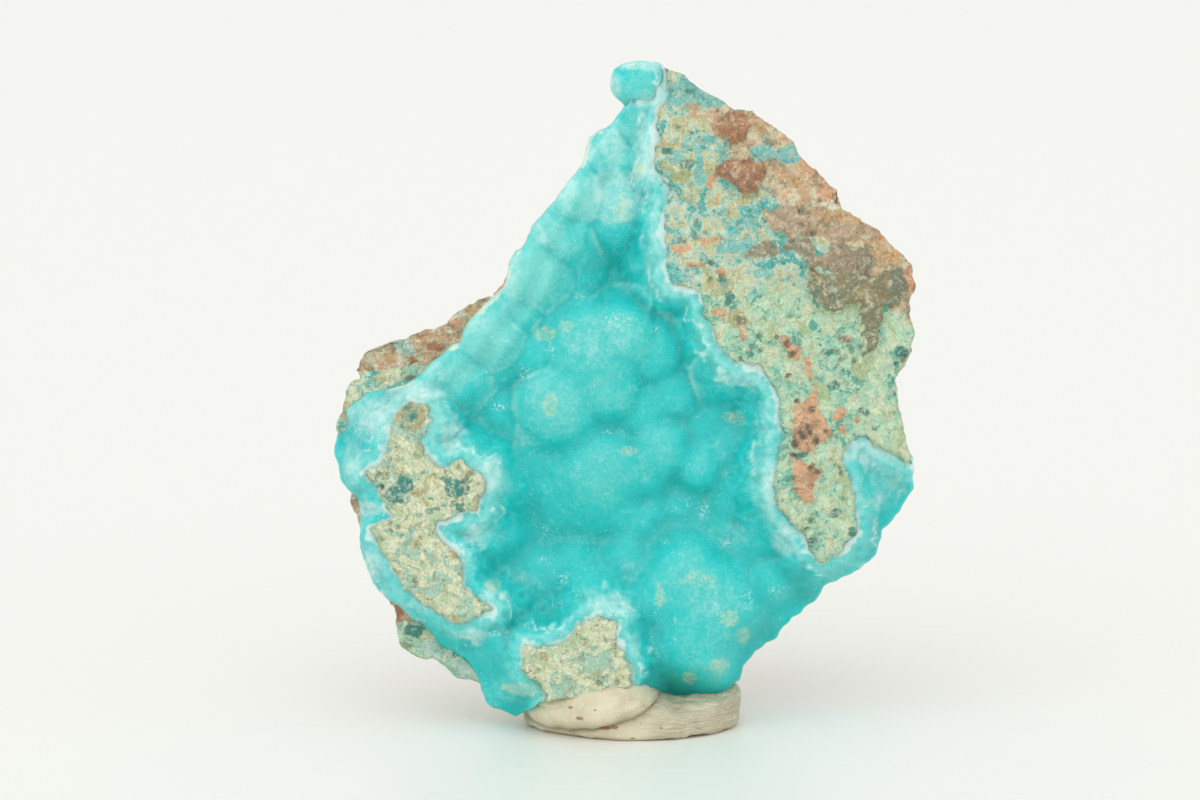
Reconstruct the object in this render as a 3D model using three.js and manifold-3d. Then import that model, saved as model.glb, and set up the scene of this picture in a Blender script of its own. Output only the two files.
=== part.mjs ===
// A hemimorphite specimen: a blue botryoidal crust lines the hollow of a broken piece of
// stained matrix rock, and the rock stands pressed into a pad of mounting putty.
//
// Units are millimetres and +Z is up. The open side of the hollow faces -Y. Outlines are
// drawn as [x, z] points in the plane of the broken face, about the middle of the hollow,
// and depths run along +Y, away from the open side.

import * as THREE from 'three';
import { mergeVertices } from 'three/addons/utils/BufferGeometryUtils.js';
import { ConvexGeometry } from 'three/addons/geometries/ConvexGeometry.js';
import { ImprovedNoise } from 'three/addons/math/ImprovedNoise.js';
import Module from 'manifold-3d';

const wasm = await Module();
wasm.setup();

// ---------------------------------------------------------------- driving dimensions

const LEAN = THREE.MathUtils.degToRad(8); // the broken face leans back by this much
const SPECIMEN_SEAT = new THREE.Vector3(0, -4.9, 30.6); // middle of the hollow, above the foot
const CLEARANCE = 0.3; // gap between crust, rock and putty

const FACE_DOME = { x: -2, z: -4, curveX: 0.0045, curveZ: 0.0022 }; // curves in 1/mm
const RIGHT_FALL = { from: 5, slope: 0.08 }; // the face falls away further at the right

const CRUST_THICKNESS = 1.8; // behind the clefts; the lumps make it thicker
const CRUST_TUCK = 1.4; // how far the back of the crust's blank reaches into the rock
const FACE_HEIGHT = 3.0; // the broken face, above the mean level of the lumps
const FLOOR_HEIGHT = -4.4; // the bottom of the clefts between the lumps in the hollow
const SHALLOW_END = { from: 14, to: 23, rise: 4.8 }; // the hollow gets shallower up to the tip
const SHOULDER_HEIGHT = 1.7; // the same outside the hollow's mouth
const MOUTH_SLOPE = 1.8; // half the width over which the floor rises to the shoulder
const LUMP_BLEND = 0.9; // rounding of the crease between two lumps
const WALL_BLEND = 1.6; // rounding where the hollow's wall meets its floor
const RIM_WIDTH = 0.5; // flat broken rim of crust round each bare patch of rock
const RIM_STEEPNESS = 1.35;
const CREST_HEIGHT = 1.4; // the edge of the crust along the upper left side
const CREST_WIDTH = 0.4;
const CREST_STEEPNESS = 1.7;
const EDGE_ROLL = 2.4; // how far the crust turns back at its outer edge
const EDGE_ROLL_WIDTH = 3.6;
const EDGE_FLAT_BY_PATCH = [0.8, 2.6]; // no turning back nearer to a patch than this
const EDGE_FLAT_BY_CREST = [0.6, 3];
const LUMP_SPREAD = 1.42; // how much wider than its visible cap the ball of a lump is
const LUMP_SQUASH = 0.68; // how flat the balls are
const LUMP_SKIRT = 0.9; // share of a lump's radius where its ball passes into a straight skirt
const LUMP_OVERRUN = 0.35; // how fast the lumps may rise above the face away from a patch
const LUMP_OVERRUN_FROM = 1.5; // and how far from a patch they start to
const FACET = 0.6; // half the length of a facet's edge on the crust

const ROCK_DEPTH = 17.5; // broken face to the flat of the back
const ROCK_MIN_THICKNESS = 3.5;
const LEDGE_DROP = 4.2; // the rock beyond the crust's edge lies this far behind the face
const ROCK_TAPER = 0.1; // share by which the side of the rock draws in towards its back
const RIDGE_BLEND = 1.2; // rounding of the ridges between the planes of the back
const PATCH_ROOT = 10; // how deep the rock of a bare patch is drawn before it meets the core
const FACE_DEPTH = 9; // thickness of the rock slab that carries the broken face

// Roughness of the rock: height of the relief, size of its grains, and which noise it uses.
const FACE_ROUGHNESS = { height: 0.55, grain: 5.5, seed: 3 };
const LEDGE_ROUGHNESS = { height: 0.9, grain: 5, seed: 11 };
const BACK_ROUGHNESS = [
  { height: 1.5, grain: 9, seed: 21 },
  { height: 0.7, grain: 3.6, seed: 35 },
];
const SLAB_ROUGHNESS = { height: 1.5, grain: 6, seed: 51 };

// The same for a side that is drawn on a unit sphere: shares of the piece's width.
const SIDE_ROUGHNESS = { height: 0.03, grain: 0.4, seed: 5 };
const PUTTY_ROUGHNESS = { height: 0.03, grain: 0.55, seed: 0 };

const HOLLOW_CENTRE = new THREE.Vector2(-1, -1.5);

const PUTTY_SIZE = { halfWidth: 9.6, halfDepth: 9.4, height: 5.1 };
const PUTTY_CENTRE = new THREE.Vector2(-0.4, 1.4);
const PUTTY_FLAP = { centre: [-3.4, -6.3, 3.3], radii: [5.2, 2.9, 2.0] }; // pressed up in front
const PUTTY_ROLL = { centre: [4.6, -5.4, 2.6], radii: [5.2, 4.2, 2.7] }; // bulges at the right
const DENT_HEIGHT = 9; // the dent is made by what lies below this height

const TIP_KNOBS = [ // the rounded end of the crust at the top
  { x: -0.4, z: 28.4, radius: 2.05, depth: 2.1 },
  { x: 0.7, z: 28.9, radius: 1.6, depth: 1.6 },
  { x: -1.3, z: 29.1, radius: 1.3, depth: 1.9 },
  { x: 0.5, z: 27.4, radius: 1.6, depth: 1.8 },
];

// Outer edge of the crust and of the broken face.
const FACE_OUTLINE = [
  [23.3, 0.2], [23.3, 2.0], [24.4, 3.9], [25.0, 6.0], [24.4, 8.7], [25.0, 10.2], [24.6, 12.2],
  [23.2, 13.6], [21.6, 15.5], [18.4, 17.5], [17.9, 19.0], [14.7, 21.9], [13.9, 23.4], [11.9, 24.7],
  [10.3, 25.8], [8.6, 26.4], [6.5, 27.7], [4.3, 28.6], [2.5, 29.8], [1.1, 30.4], [-0.2, 30.1],
  [-0.8, 26.9], [-2.6, 24.9], [-4.5, 23.6], [-5.1, 21.3], [-7.6, 17.7], [-9.3, 16.3],
  [-11.3, 12.7], [-12.3, 10.0], [-13.9, 8.2], [-15.5, 6.7], [-15.9, 5.0], [-17.6, 4.3],
  [-19.3, 2.5], [-20.9, 1.3], [-24.7, 0.7], [-26.6, -0.9], [-27.4, -3.2], [-27.5, -5.6],
  [-26.7, -7.5], [-25.3, -8.8], [-25.1, -10.8], [-25.1, -14.4], [-23.7, -17.1], [-21.9, -18.4],
  [-20.0, -19.8], [-18.0, -22.1], [-15.8, -23.5], [-14.4, -25.7], [-13.9, -27.5], [-11.1, -28.5],
  [-9.9, -28.0], [-9.2, -26.8], [-6.4, -26.8], [-3.6, -26.3], [-0.4, -25.6], [1.4, -26.7],
  [5.4, -26.8], [8.1, -26.0], [9.1, -25.2], [9.4, -24.1],
  [10.5, -22.8], [12.4, -21.6], [13.9, -19.8], [15.8, -18.3], [16.8, -16.9], [19.8, -15.4],
  [21.4, -13.9], [22.1, -12.1], [23.7, -9.9], [24.7, -8.1], [24.7, -5.6], [23.9, -2.2],
];

// Edge of the rock behind the crust. It shows past the crust at the left.
const ROCK_OUTLINE = [
  [22.5, 0.0], [23.8, 5.0], [23.8, 11.5], [18.9, 16.0], [14.4, 20.5], [9.4, 24.5], [4.5, 27.2],
  [0.7, 27.7], [-1.6, 24.5], [-4.5, 21.1], [-8.5, 15.8], [-11.7, 11.2], [-13.2, 9.2], [-14.9, 8.5],
  [-16.6, 7.5], [-19.1, 6.2], [-21.2, 5.3], [-23.2, 5.3], [-25.4, 4.3], [-26.2, 2.9], [-26.8, 0.9],
  [-27.1, -1.8], [-26.6, -4.5], [-25.9, -8.1], [-25.6, -10.6], [-25.9, -12.2], [-25.3, -14.0],
  [-23.4, -16.6], [-22.1, -18.4], [-22.3, -20.9], [-21.8, -22.7], [-20.4, -23.4], [-18.2, -23.5],
  [-16.5, -24.6], [-14.6, -25.2], [-10.8, -26.0], [-3.6, -26.4], [5.4, -25.6], [9.2, -23.3],
  [14.4, -18.4], [20.3, -13.5], [21.5, -11.6], [22.8, -9.6], [23.2, -6.1], [22.3, -2.9],
];

// Bare patches of rock that come through the crust to the broken face.
const RIGHT_PATCH = [
  [2.2, 31.7], [2.6, 29.0], [2.8, 27.4], [1.9, 25.9], [1.6, 23.4], [1.5, 20.7], [2.8, 18.7],
  [2.1, 16.7], [2.3, 13.5], [2.8, 10.7], [5.7, 9.7], [5.9, 7.9], [7.4, 4.8], [8.5, 3.4],
  [10.9, 3.1], [12.5, 0.7], [13.0, -2.6], [12.5, -5.9], [12.1, -8.0], [12.8, -9.7], [14.8, -12.1],
  [15.2, -13.5], [16.6, -14.5], [18.2, -13.7], [19.4, -12.1], [19.5, -10.1], [18.7, -6.7],
  [18.2, -5.0], [18.8, -3.6], [20.5, -3.2], [22.5, -4.3], [26.6, -7.0], [32.4, 1.8], [28.8, 25.2],
  [10.8, 33.3],
];
const LEFT_PATCH = [
  [-20.8, -0.1], [-19.4, -0.6], [-18.9, -1.9], [-19.8, -3.5], [-19.4, -4.9], [-17.7, -6.3],
  [-15.9, -5.6], [-14.6, -6.4], [-14.2, -7.7], [-14.8, -10.0], [-18.4, -11.0], [-18.2, -12.4],
  [-16.3, -14.3], [-15.9, -16.9], [-13.6, -18.9], [-16.3, -20.1], [-19.7, -18.4], [-21.4, -16.9],
  [-21.8, -15.4], [-23.6, -13.3], [-24.2, -11.7], [-22.1, -10.6], [-23.6, -8.5], [-23.8, -7.3],
  [-25.1, -6.8], [-23.4, -5.7], [-23.1, -4.5], [-22.4, -3.3], [-22.5, -2.4],
];
const BOTTOM_PATCH = [
  [-10.2, -22.5], [-7.6, -22.3], [-5.6, -21.0], [-4.8, -19.8], [-3.6, -19.3], [-2.3, -20.0],
  [-1.8, -22.3], [-1.0, -24.3], [-0.9, -29.7], [-9.4, -29.7], [-9.9, -25.4], [-10.4, -24.2],
];

// The mouth of the hollow, inside the rim.
const HOLLOW_MOUTH = [
  [1.1, 26.3], [0.9, 23.4], [0.7, 20.7], [1.8, 18.4], [1.1, 16.6], [1.3, 13.5], [1.8, 10.8],
  [4.0, 9.4], [4.7, 7.4], [5.8, 5.0], [7.9, 2.4], [10.3, 1.3], [11.0, -0.4], [10.6, -3.6],
  [10.3, -6.3], [10.5, -8.5], [11.3, -10.6], [12.6, -13.1], [14.4, -15.3], [17.1, -17.1],
  [17.6, -19.8], [13.5, -22.5], [10.5, -24.1], [9.4, -27.0], [0.9, -27.4], [0.0, -22.9],
  [-0.7, -20.2], [-2.5, -18.4], [-4.5, -18.2], [-6.1, -20.2], [-7.6, -21.7], [-10.8, -21.6],
  [-12.6, -20.9], [-13.3, -19.8], [-12.9, -18.4], [-14.6, -17.1], [-15.5, -15.3], [-15.8, -13.0],
  [-14.4, -11.0], [-13.5, -9.4], [-13.2, -7.2], [-14.6, -5.2], [-16.4, -4.3], [-18.0, -3.6],
  [-18.4, -1.3], [-17.6, 1.3], [-15.3, 4.5], [-13.0, 7.2], [-11.5, 10.4], [-10.3, 13.3],
  [-7.9, 16.6], [-5.4, 19.6], [-3.2, 22.9], [-1.3, 25.0], [0.0, 27.0],
];

// Ridge where the crust ends in front of the upper left rock.
const CREST_LINE = [
  [0.7, 29.5], [-1.1, 25.9], [-3.3, 22.9], [-5.7, 19.3], [-8.3, 16.0], [-10.4, 13.1], [-11.7, 9.9],
  [-13.9, 7.4], [-15.5, 5.1], [-18.0, 2.9], [-20.0, 1.1],
];

// Botryoidal lumps: [x, z, radius of the visible cap, height of the top].
const LUMPS = [
  [-2.1, 18.4, 3.2, 1.2], [-2.8, 22.5, 2.3, 1.7], [0.8, 25.6, 1.5, 2.2], [0.6, 22.4, 1.5, 1.5],
  [-4.4, 22.6, 1.3, 2.0], [-6.0, 19.0, 1.4, 1.9], [-7.5, 15.5, 2.1, 2.0], [-10.9, 11.4, 1.8, 2.0],
  [-11.9, 8.6, 1.6, 1.8], [-14.3, 7.0, 1.6, 1.9], [-17.0, 2.8, 2.0, 2.0], [-6.9, 11.4, 3.0, -0.4],
  [-0.8, 10.9, 3.2, -1.8], [-7.0, 5.8, 4.5, 0.2], [-4.3, 4.3, 3.8, 1.2], [-1.6, 5.9, 2.3, 1.3],
  [0.9, 5.2, 2.5, 0.5], [-9.6, 4.3, 2.0, 0.5], [-7.6, -0.2, 2.8, 1.2], [-3.4, 1.4, 2.3, 0.8],
  [-13.5, 4.7, 2.5, -0.2], [-12.6, -0.7, 2.5, -0.4], [2.9, 1.1, 2.3, -0.8], [0.0, -0.4, 2.5, -0.8],
  [4.7, 5.6, 2.5, -0.6], [7.4, 2.5, 2.0, 0.2], [8.5, -0.4, 2.5, -1.0], [6.5, -2.5, 2.3, -1.4],
  [9.4, -4.1, 2.2, -0.8], [-10.8, -3.8, 2.5, -0.8], [-8.9, -6.8, 2.9, -1.2], [-4.1, -5.9, 3.4, -0.4],
  [0.0, -5.9, 2.5, -1.4], [2.0, -4.1, 2.0, -0.8], [5.8, -5.8, 1.8, -1.1], [-6.7, -9.5, 2.3, -1.8],
  [-3.1, -9.2, 2.3, -1.6], [-9.9, -11.3, 2.7, -2.2], [-4.5, -12.4, 2.5, -2.6],
  [-0.4, -11.3, 2.3, -2.0], [2.2, -9.7, 1.8, -2.6], [4.5, -10.1, 1.8, -2.4],
  [5.2, -12.6, 1.8, -2.6], [8.8, -12.1, 2.8, -1.2], [11.0, -14.0, 2.2, -0.2],
  [-9.9, -16.7, 2.8, -0.6], [-6.3, -15.5, 1.8, -1.0], [-1.3, -15.7, 2.3, -1.0],
  [1.3, -18.5, 1.8, 0.8], [4.5, -17.3, 3.1, 1.2], [7.6, -18.5, 3.2, 1.2], [5.4, -21.6, 3.8, 1.7],
  [6.8, -24.1, 1.6, 1.6], [1.3, -22.9, 2.0, 0.4], [-13.3, -12.2, 1.6, 0.4],
  [-14.9, -12.4, 1.4, 1.6], [-12.6, -25.9, 2.2, 2.0], [-10.3, -25.6, 2.0, 2.2],
  [-14.2, -22.5, 2.3, 2.0], [-17.6, -20.9, 2.0, 1.8], [12.1, -16.6, 1.6, 0.6],
  [13.7, -18.9, 2.7, -0.2], [22.0, -8.3, 3.1, 1.8], [18.5, -15.3, 2.3, 1.4],
  [-22.9, -16.2, 2.3, 2.2], [-25.9, -6.3, 2.7, 2.0], [-22.5, -1.3, 2.7, 1.9], [-19.8, 0.0, 2.2, 1.7],
  [10.6, -7.4, 2.0, -0.2], [-6.8, -21.6, 1.6, 0.8], [3.2, 9.0, 1.6, -0.2], [1.4, 13.9, 1.4, 0.2],
  [-15.7, -2.9, 1.8, -0.6], [-12.2, -7.4, 1.8, -0.6], [9.2, -8.8, 1.8, -1.0],
  [12.2, -11.9, 1.6, 0.6], [-4.5, -17.6, 1.4, 0.8],
];

// Broken planes of the back: [depth at the middle, slope along x, slope along z].
const BACK_PLANES = [
  [ROCK_DEPTH, 0.02, 0.05],
  [ROCK_DEPTH + 12.0, -0.78, 0.1],
  [ROCK_DEPTH + 9.5, 0.72, -0.12],
  [ROCK_DEPTH + 11.0, -0.12, -0.72],
  [ROCK_DEPTH + 9.5, 0.08, 0.7],
  [ROCK_DEPTH + 10.5, -0.46, -0.5],
  [ROCK_DEPTH + 8.0, 0.5, -0.42],
];

// ---------------------------------------------------------------- fields over the face

const { clamp, lerp, smoothstep } = THREE.MathUtils;
const perlin = new ImprovedNoise();

/** Relief of a rough surface: one noise, and a finer and lower one on top of it. */
function relief([x, y, z], { height, grain, seed }) {
  const finer = 2.3;
  const coarse = perlin.noise(x / grain, y / grain + seed, z / grain);
  const fine = perlin.noise(finer * x / grain, finer * y / grain - seed, finer * z / grain);
  return height * (coarse + 0.5 * fine);
}

/** The larger of two heights, with the crease between them rounded. */
function softMax(a, b, blend) {
  const share = clamp(0.5 + 0.5 * (a - b) / blend, 0, 1);
  return lerp(b, a, share) + blend * share * (1 - share);
}

function distanceToSegment(x, z, [ax, az], [bx, bz]) {
  const [dx, dz] = [bx - ax, bz - az];
  const along = clamp(((x - ax) * dx + (z - az) * dz) / (dx * dx + dz * dz), 0, 1);
  return Math.hypot(x - ax - along * dx, z - az - along * dz);
}

function distanceToLine(x, z, points) {
  let nearest = Infinity;
  for (let i = 0; i + 1 < points.length; i += 1) {
    nearest = Math.min(nearest, distanceToSegment(x, z, points[i], points[i + 1]));
  }
  return nearest;
}

/** Distance to a closed outline, negative inside it. */
function signedDistance(x, z, outline) {
  let inside = false;
  for (let i = 0, j = outline.length - 1; i < outline.length; j = i, i += 1) {
    const [[xi, zi], [xj, zj]] = [outline[i], outline[j]];
    if (zi > z !== zj > z && x < (xj - xi) * (z - zi) / (zj - zi) + xi) inside = !inside;
  }
  const edge = distanceToLine(x, z, [...outline, outline[0]]);
  return inside ? -edge : edge;
}

/** Depth of the broken face, which is slightly domed and falls away to the right. */
function faceDepth(x, z) {
  const { x: topX, z: topZ, curveX, curveZ } = FACE_DOME;
  const dome = curveX * (x - topX) ** 2 + curveZ * (z - topZ) ** 2;
  return dome + RIGHT_FALL.slope * Math.max(0, x - RIGHT_FALL.from);
}

/** Distance to the nearest bare patch of rock. */
function distanceToPatch(x, z) {
  const patches = [RIGHT_PATCH, LEFT_PATCH, BOTTOM_PATCH];
  return Math.min(...patches.map((patch) => signedDistance(x, z, patch)));
}

/** Height of the bowl that the lumps grow on: a floor, and walls up to the rim and the crest. */
function bowlHeight(x, z) {
  const outside = smoothstep(signedDistance(x, z, HOLLOW_MOUTH), -MOUTH_SLOPE, MOUTH_SLOPE);
  const { from, to, rise } = SHALLOW_END;
  const floor = lerp(FLOOR_HEIGHT + rise * smoothstep(z, from, to), SHOULDER_HEIGHT, outside);
  const fromRim = Math.max(0, distanceToPatch(x, z) - RIM_WIDTH);
  const fromCrest = Math.max(0, distanceToLine(x, z, CREST_LINE) - CREST_WIDTH);
  const rimWall = FACE_HEIGHT - RIM_STEEPNESS * fromRim;
  const crestWall = CREST_HEIGHT - CREST_STEEPNESS * fromCrest;
  return softMax(softMax(rimWall, crestWall, WALL_BLEND), floor, WALL_BLEND);
}

/** Fall of a unit sphere at a distance from its top, with a straight skirt further out. */
function lumpFall(off) {
  const skirt = Math.sqrt(1 - LUMP_SKIRT ** 2);
  if (off < LUMP_SKIRT) return 1 - Math.sqrt(1 - off * off);
  return 1 - skirt + (off - LUMP_SKIRT) * LUMP_SKIRT / skirt;
}

/** Height of the lumps over the bowl. */
function lumpHeight(x, z) {
  let height = bowlHeight(x, z);
  for (const [lumpX, lumpZ, capRadius, top] of LUMPS) {
    const radius = LUMP_SPREAD * capRadius;
    const off = Math.hypot(x - lumpX, z - lumpZ) / radius;
    if (off < 2) height = softMax(top - LUMP_SQUASH * radius * lumpFall(off), height, LUMP_BLEND);
  }
  const free = Math.max(0, distanceToPatch(x, z) - LUMP_OVERRUN_FROM);
  return -softMax(-height, -(FACE_HEIGHT + LUMP_OVERRUN * free), LUMP_BLEND / 2);
}

/** How far the outer edge of the crust turns back. It stays flat beside a patch or the crest. */
function edgeRoll(x, z) {
  const inward = -signedDistance(x, z, FACE_OUTLINE);
  const edge = 1 - smoothstep(inward, 0, EDGE_ROLL_WIDTH);
  const patch = smoothstep(distanceToPatch(x, z), ...EDGE_FLAT_BY_PATCH);
  const crest = smoothstep(distanceToLine(x, z, CREST_LINE), ...EDGE_FLAT_BY_CREST);
  return EDGE_ROLL * edge * lerp(0.25, 1, patch) * crest;
}

/** Depth of the crust's outer surface, evened out over about one facet of the mesh. */
function crustDepth(x, z) {
  const around = [0, 1, 2, 3, 4, 5].map((i) => i * Math.PI / 3);
  const ring = around.map((angle) => (
    lumpHeight(x + FACET * Math.cos(angle), z + FACET * Math.sin(angle))));
  const height = (2 * lumpHeight(x, z) + ring.reduce((sum, value) => sum + value)) / 8;
  return faceDepth(x, z) + FACE_HEIGHT - height + edgeRoll(x, z);
}

/** Depth of the smooth bowl in the rock that the crust lines. */
function bowlDepth(x, z) {
  return faceDepth(x, z) + FACE_HEIGHT - bowlHeight(x, z) + edgeRoll(x, z) + CRUST_THICKNESS;
}

/** Depth of the rough broken rock on the face. */
function rockFaceDepth(x, z) {
  return faceDepth(x, z) + relief([x, 0, z], FACE_ROUGHNESS);
}

/** Depth of the rock under the crust, and of the ledge that shows past the crust. */
function coreDepth(x, z) {
  const beyond = smoothstep(signedDistance(x, z, FACE_OUTLINE), -3, 1);
  const under = bowlDepth(x, z);
  const ledge = faceDepth(x, z) + LEDGE_DROP + relief([x, 0, z], LEDGE_ROUGHNESS);
  return lerp(under, Math.max(ledge, under - EDGE_ROLL), beyond);
}

/** Depth of the rock's back: broken planes that meet in ridges, with ledges and pits. */
function backDepth(x, z) {
  const planes = BACK_PLANES.map(([middle, slopeX, slopeZ]) => middle + slopeX * x + slopeZ * z);
  const depth = planes.reduce((nearest, plane) => -softMax(-plane, -nearest, RIDGE_BLEND));
  const rough = BACK_ROUGHNESS.map((layer) => relief([x, 0, z], layer));
  return Math.max(depth + rough[0] + rough[1], coreDepth(x, z) + ROCK_MIN_THICKNESS);
}

// ---------------------------------------------------------------- making solids

function solidFrom(geometry) {
  const bare = geometry.clone();
  bare.deleteAttribute('normal');
  bare.deleteAttribute('uv');
  const merged = mergeVertices(bare, 1e-4);
  return new wasm.Manifold(new wasm.Mesh({
    numProp: 3,
    vertProperties: Float32Array.from(merged.attributes.position.array),
    triVerts: Uint32Array.from(merged.index.array),
  }));
}

function geometryFrom(solid) {
  const mesh = solid.getMesh();
  const geometry = new THREE.BufferGeometry();
  geometry.setAttribute('position', new THREE.BufferAttribute(mesh.vertProperties, 3));
  geometry.setIndex(new THREE.BufferAttribute(mesh.triVerts, 1));
  geometry.computeVertexNormals();
  return geometry;
}

/** Keeps the main piece of a cut, without the crumbs that a cut can leave. */
function mainPiece(solid) {
  const pieces = solid.decompose();
  return pieces.reduce((best, piece) => (piece.volume() > best.volume() ? piece : best));
}

/** How far an outline lies from the middle of the hollow in one direction. */
function reach(outline, angle) {
  const { x: cx, y: cz } = HOLLOW_CENTRE;
  const [dx, dz] = [Math.cos(angle), Math.sin(angle)];
  let far = 0;
  for (let i = 0, j = outline.length - 1; i < outline.length; j = i, i += 1) {
    const [ax, az] = [outline[j][0] - cx, outline[j][1] - cz];
    const [ex, ez] = [outline[i][0] - cx - ax, outline[i][1] - cz - az];
    const cross = dx * ez - dz * ex;
    if (Math.abs(cross) < 1e-9) continue;
    const distance = (ax * ez - az * ex) / cross;
    const along = (ax * dz - az * dx) / cross;
    if (along >= 0 && along <= 1) far = Math.max(far, distance);
  }
  return far;
}

/**
 * A closed body inside an outline, between a front and a back surface. The triangles of a
 * geodesic sphere are spread evenly: a cap over the front, a band round the side and a cap
 * over the back.
 */
function bodyBetween({ outline, front, back, detail, capShare, taper = 0, grow = 0 }) {
  const sphere = new THREE.IcosahedronGeometry(1, detail);
  sphere.deleteAttribute('normal');
  sphere.deleteAttribute('uv');
  const geometry = mergeVertices(sphere, 1e-4);
  const capAngle = Math.acos(1 - 2 * capShare);
  const { position } = geometry.attributes;
  const point = new THREE.Vector3();
  for (let i = 0; i < position.count; i += 1) {
    point.fromBufferAttribute(position, i);
    const polar = Math.acos(clamp(-point.y, -1, 1));
    const angle = Math.atan2(point.z, point.x);
    const side = clamp((polar - capAngle) / (Math.PI - 2 * capAngle), 0, 1);
    const fromPole = Math.min(polar, Math.PI - polar);
    const spread = Math.min(1, Math.sin(fromPole / 2) / Math.sin(capAngle / 2));
    const ripple = 1 + side ** 2 * relief(point.toArray(), SIDE_ROUGHNESS);
    const radius = reach(outline, angle) * ripple * (1 - taper * side ** 2) * spread;
    const out = new THREE.Vector2(Math.cos(angle), Math.sin(angle));
    const place = out.clone().multiplyScalar(radius).add(HOLLOW_CENTRE);
    const y = lerp(front(place.x, place.y) - grow, back(place.x, place.y) + grow, side);
    if (side > 0) place.addScaledVector(out, grow);
    position.setXYZ(i, place.x, y, place.y);
  }
  return solidFrom(geometry);
}

/** An outline moved outwards by a small distance. */
function grown(outline, distance) {
  const points = outline.map(([x, z]) => new THREE.Vector2(x, z));
  const turn = Math.sign(THREE.ShapeUtils.area(points));
  return points.map((point, i) => {
    const before = points[(i + points.length - 1) % points.length];
    const after = points[(i + 1) % points.length];
    const edges = [point.clone().sub(before).normalize(), after.clone().sub(point).normalize()];
    const [first, second] = edges.map(({ x, y }) => new THREE.Vector2(turn * y, -turn * x));
    const middle = first.clone().add(second).normalize();
    const out = distance / Math.max(0.5, middle.dot(first));
    return [point.x + middle.x * out, point.y + middle.y * out];
  });
}

/** A straight plug along Y with a patch's outline. */
function plug(outline, fromDepth, toDepth) {
  const shape = new THREE.Shape(outline.map(([x, z]) => new THREE.Vector2(x, z)));
  const depth = toDepth - fromDepth;
  const geometry = new THREE.ExtrudeGeometry(shape, { depth, bevelEnabled: false });
  geometry.rotateX(Math.PI / 2);
  geometry.translate(0, toDepth, 0);
  return solidFrom(geometry);
}

function ball(centre, radii, detail) {
  const geometry = new THREE.IcosahedronGeometry(1, detail);
  geometry.scale(...radii);
  geometry.translate(...centre);
  return solidFrom(geometry);
}

// ---------------------------------------------------------------- the three pieces

const PATCHES = [RIGHT_PATCH, LEFT_PATCH, BOTTOM_PATCH];
const PLUG_FRONT = -8; // a plug starts clear in front of the face

function rockCore(grow) {
  return bodyBetween({
    outline: ROCK_OUTLINE, front: coreDepth, back: backDepth,
    detail: 11, capShare: 0.36, taper: ROCK_TAPER, grow,
  });
}

/** The slab of rock behind the broken face, of which only the bare patches are kept. */
function rockSlab() {
  const back = (x, z) => faceDepth(x, z) + FACE_DEPTH + relief([x, 0, z], SLAB_ROUGHNESS);
  return bodyBetween({
    outline: FACE_OUTLINE, front: rockFaceDepth, back,
    detail: 10, capShare: 0.4, taper: ROCK_TAPER,
  });
}

function buildRock() {
  const slab = rockSlab();
  const patches = PATCHES.map((outline) => slab.intersect(plug(outline, PLUG_FRONT, PATCH_ROOT)));
  return mainPiece(patches.reduce((joined, patch) => joined.add(patch), rockCore(0)));
}

/** The crust before the rock is cut out of it. */
function crustBlank() {
  const blank = bodyBetween({
    outline: FACE_OUTLINE, front: crustDepth,
    back: (x, z) => bowlDepth(x, z) + CRUST_TUCK,
    detail: 14, capShare: 0.46,
  });
  const knobs = TIP_KNOBS.map(({ x, z, radius, depth }) => (
    ball([x, faceDepth(x, z) + depth, z], [radius, radius, radius], 2)));
  return knobs.reduce((joined, knob) => joined.add(knob), blank);
}

function buildCrust() {
  const windows = PATCHES.map((outline) => (
    plug(grown(outline, CLEARANCE), PLUG_FRONT, PATCH_ROOT + CLEARANCE)));
  const cutters = [rockCore(CLEARANCE), rockCore(0), ...windows];
  return mainPiece(cutters.reduce((left, cutter) => left.subtract(cutter), crustBlank()));
}

/** The pad of putty before anything was pressed into it: a squashed, slightly uneven puck. */
function puttyPuck() {
  const { halfWidth, halfDepth, height } = PUTTY_SIZE;
  const geometry = new THREE.IcosahedronGeometry(1, 5);
  const { position } = geometry.attributes;
  const point = new THREE.Vector3();
  const roundness = 3.2; // 2 is an ellipsoid, larger is boxier
  for (let i = 0; i < position.count; i += 1) {
    point.fromBufferAttribute(position, i);
    const flat = Math.hypot(point.x, point.y) ** roundness + Math.abs(point.z) ** roundness;
    const uneven = 1 + relief(point.toArray(), PUTTY_ROUGHNESS);
    point.multiplyScalar(uneven / flat ** (1 / roundness));
    position.setXYZ(i, point.x * halfWidth, point.y * halfDepth, point.z * height);
  }
  return solidFrom(geometry);
}

/** Everything below the surface that the object stands on. */
function belowFloor() {
  const geometry = new THREE.BoxGeometry(60, 60, 20);
  geometry.translate(0, 0, -10);
  return solidFrom(geometry);
}

/** The dent that the foot of the specimen leaves in the putty, with its clearance. */
function footDent(meshes) {
  const corners = [];
  const point = new THREE.Vector3();
  for (const mesh of meshes) {
    const { position } = mesh.geometry.attributes;
    for (let i = 0; i < position.count; i += 1) {
      point.fromBufferAttribute(position, i).applyMatrix4(mesh.matrixWorld);
      if (point.z > DENT_HEIGHT) continue;
      for (const side of [-CLEARANCE, CLEARANCE]) {
        corners.push(point.clone().add(new THREE.Vector3(side, 0, 0)));
        corners.push(point.clone().add(new THREE.Vector3(0, side, 0)));
        corners.push(point.clone().add(new THREE.Vector3(0, 0, side)));
      }
    }
  }
  return solidFrom(new ConvexGeometry(corners));
}

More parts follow.
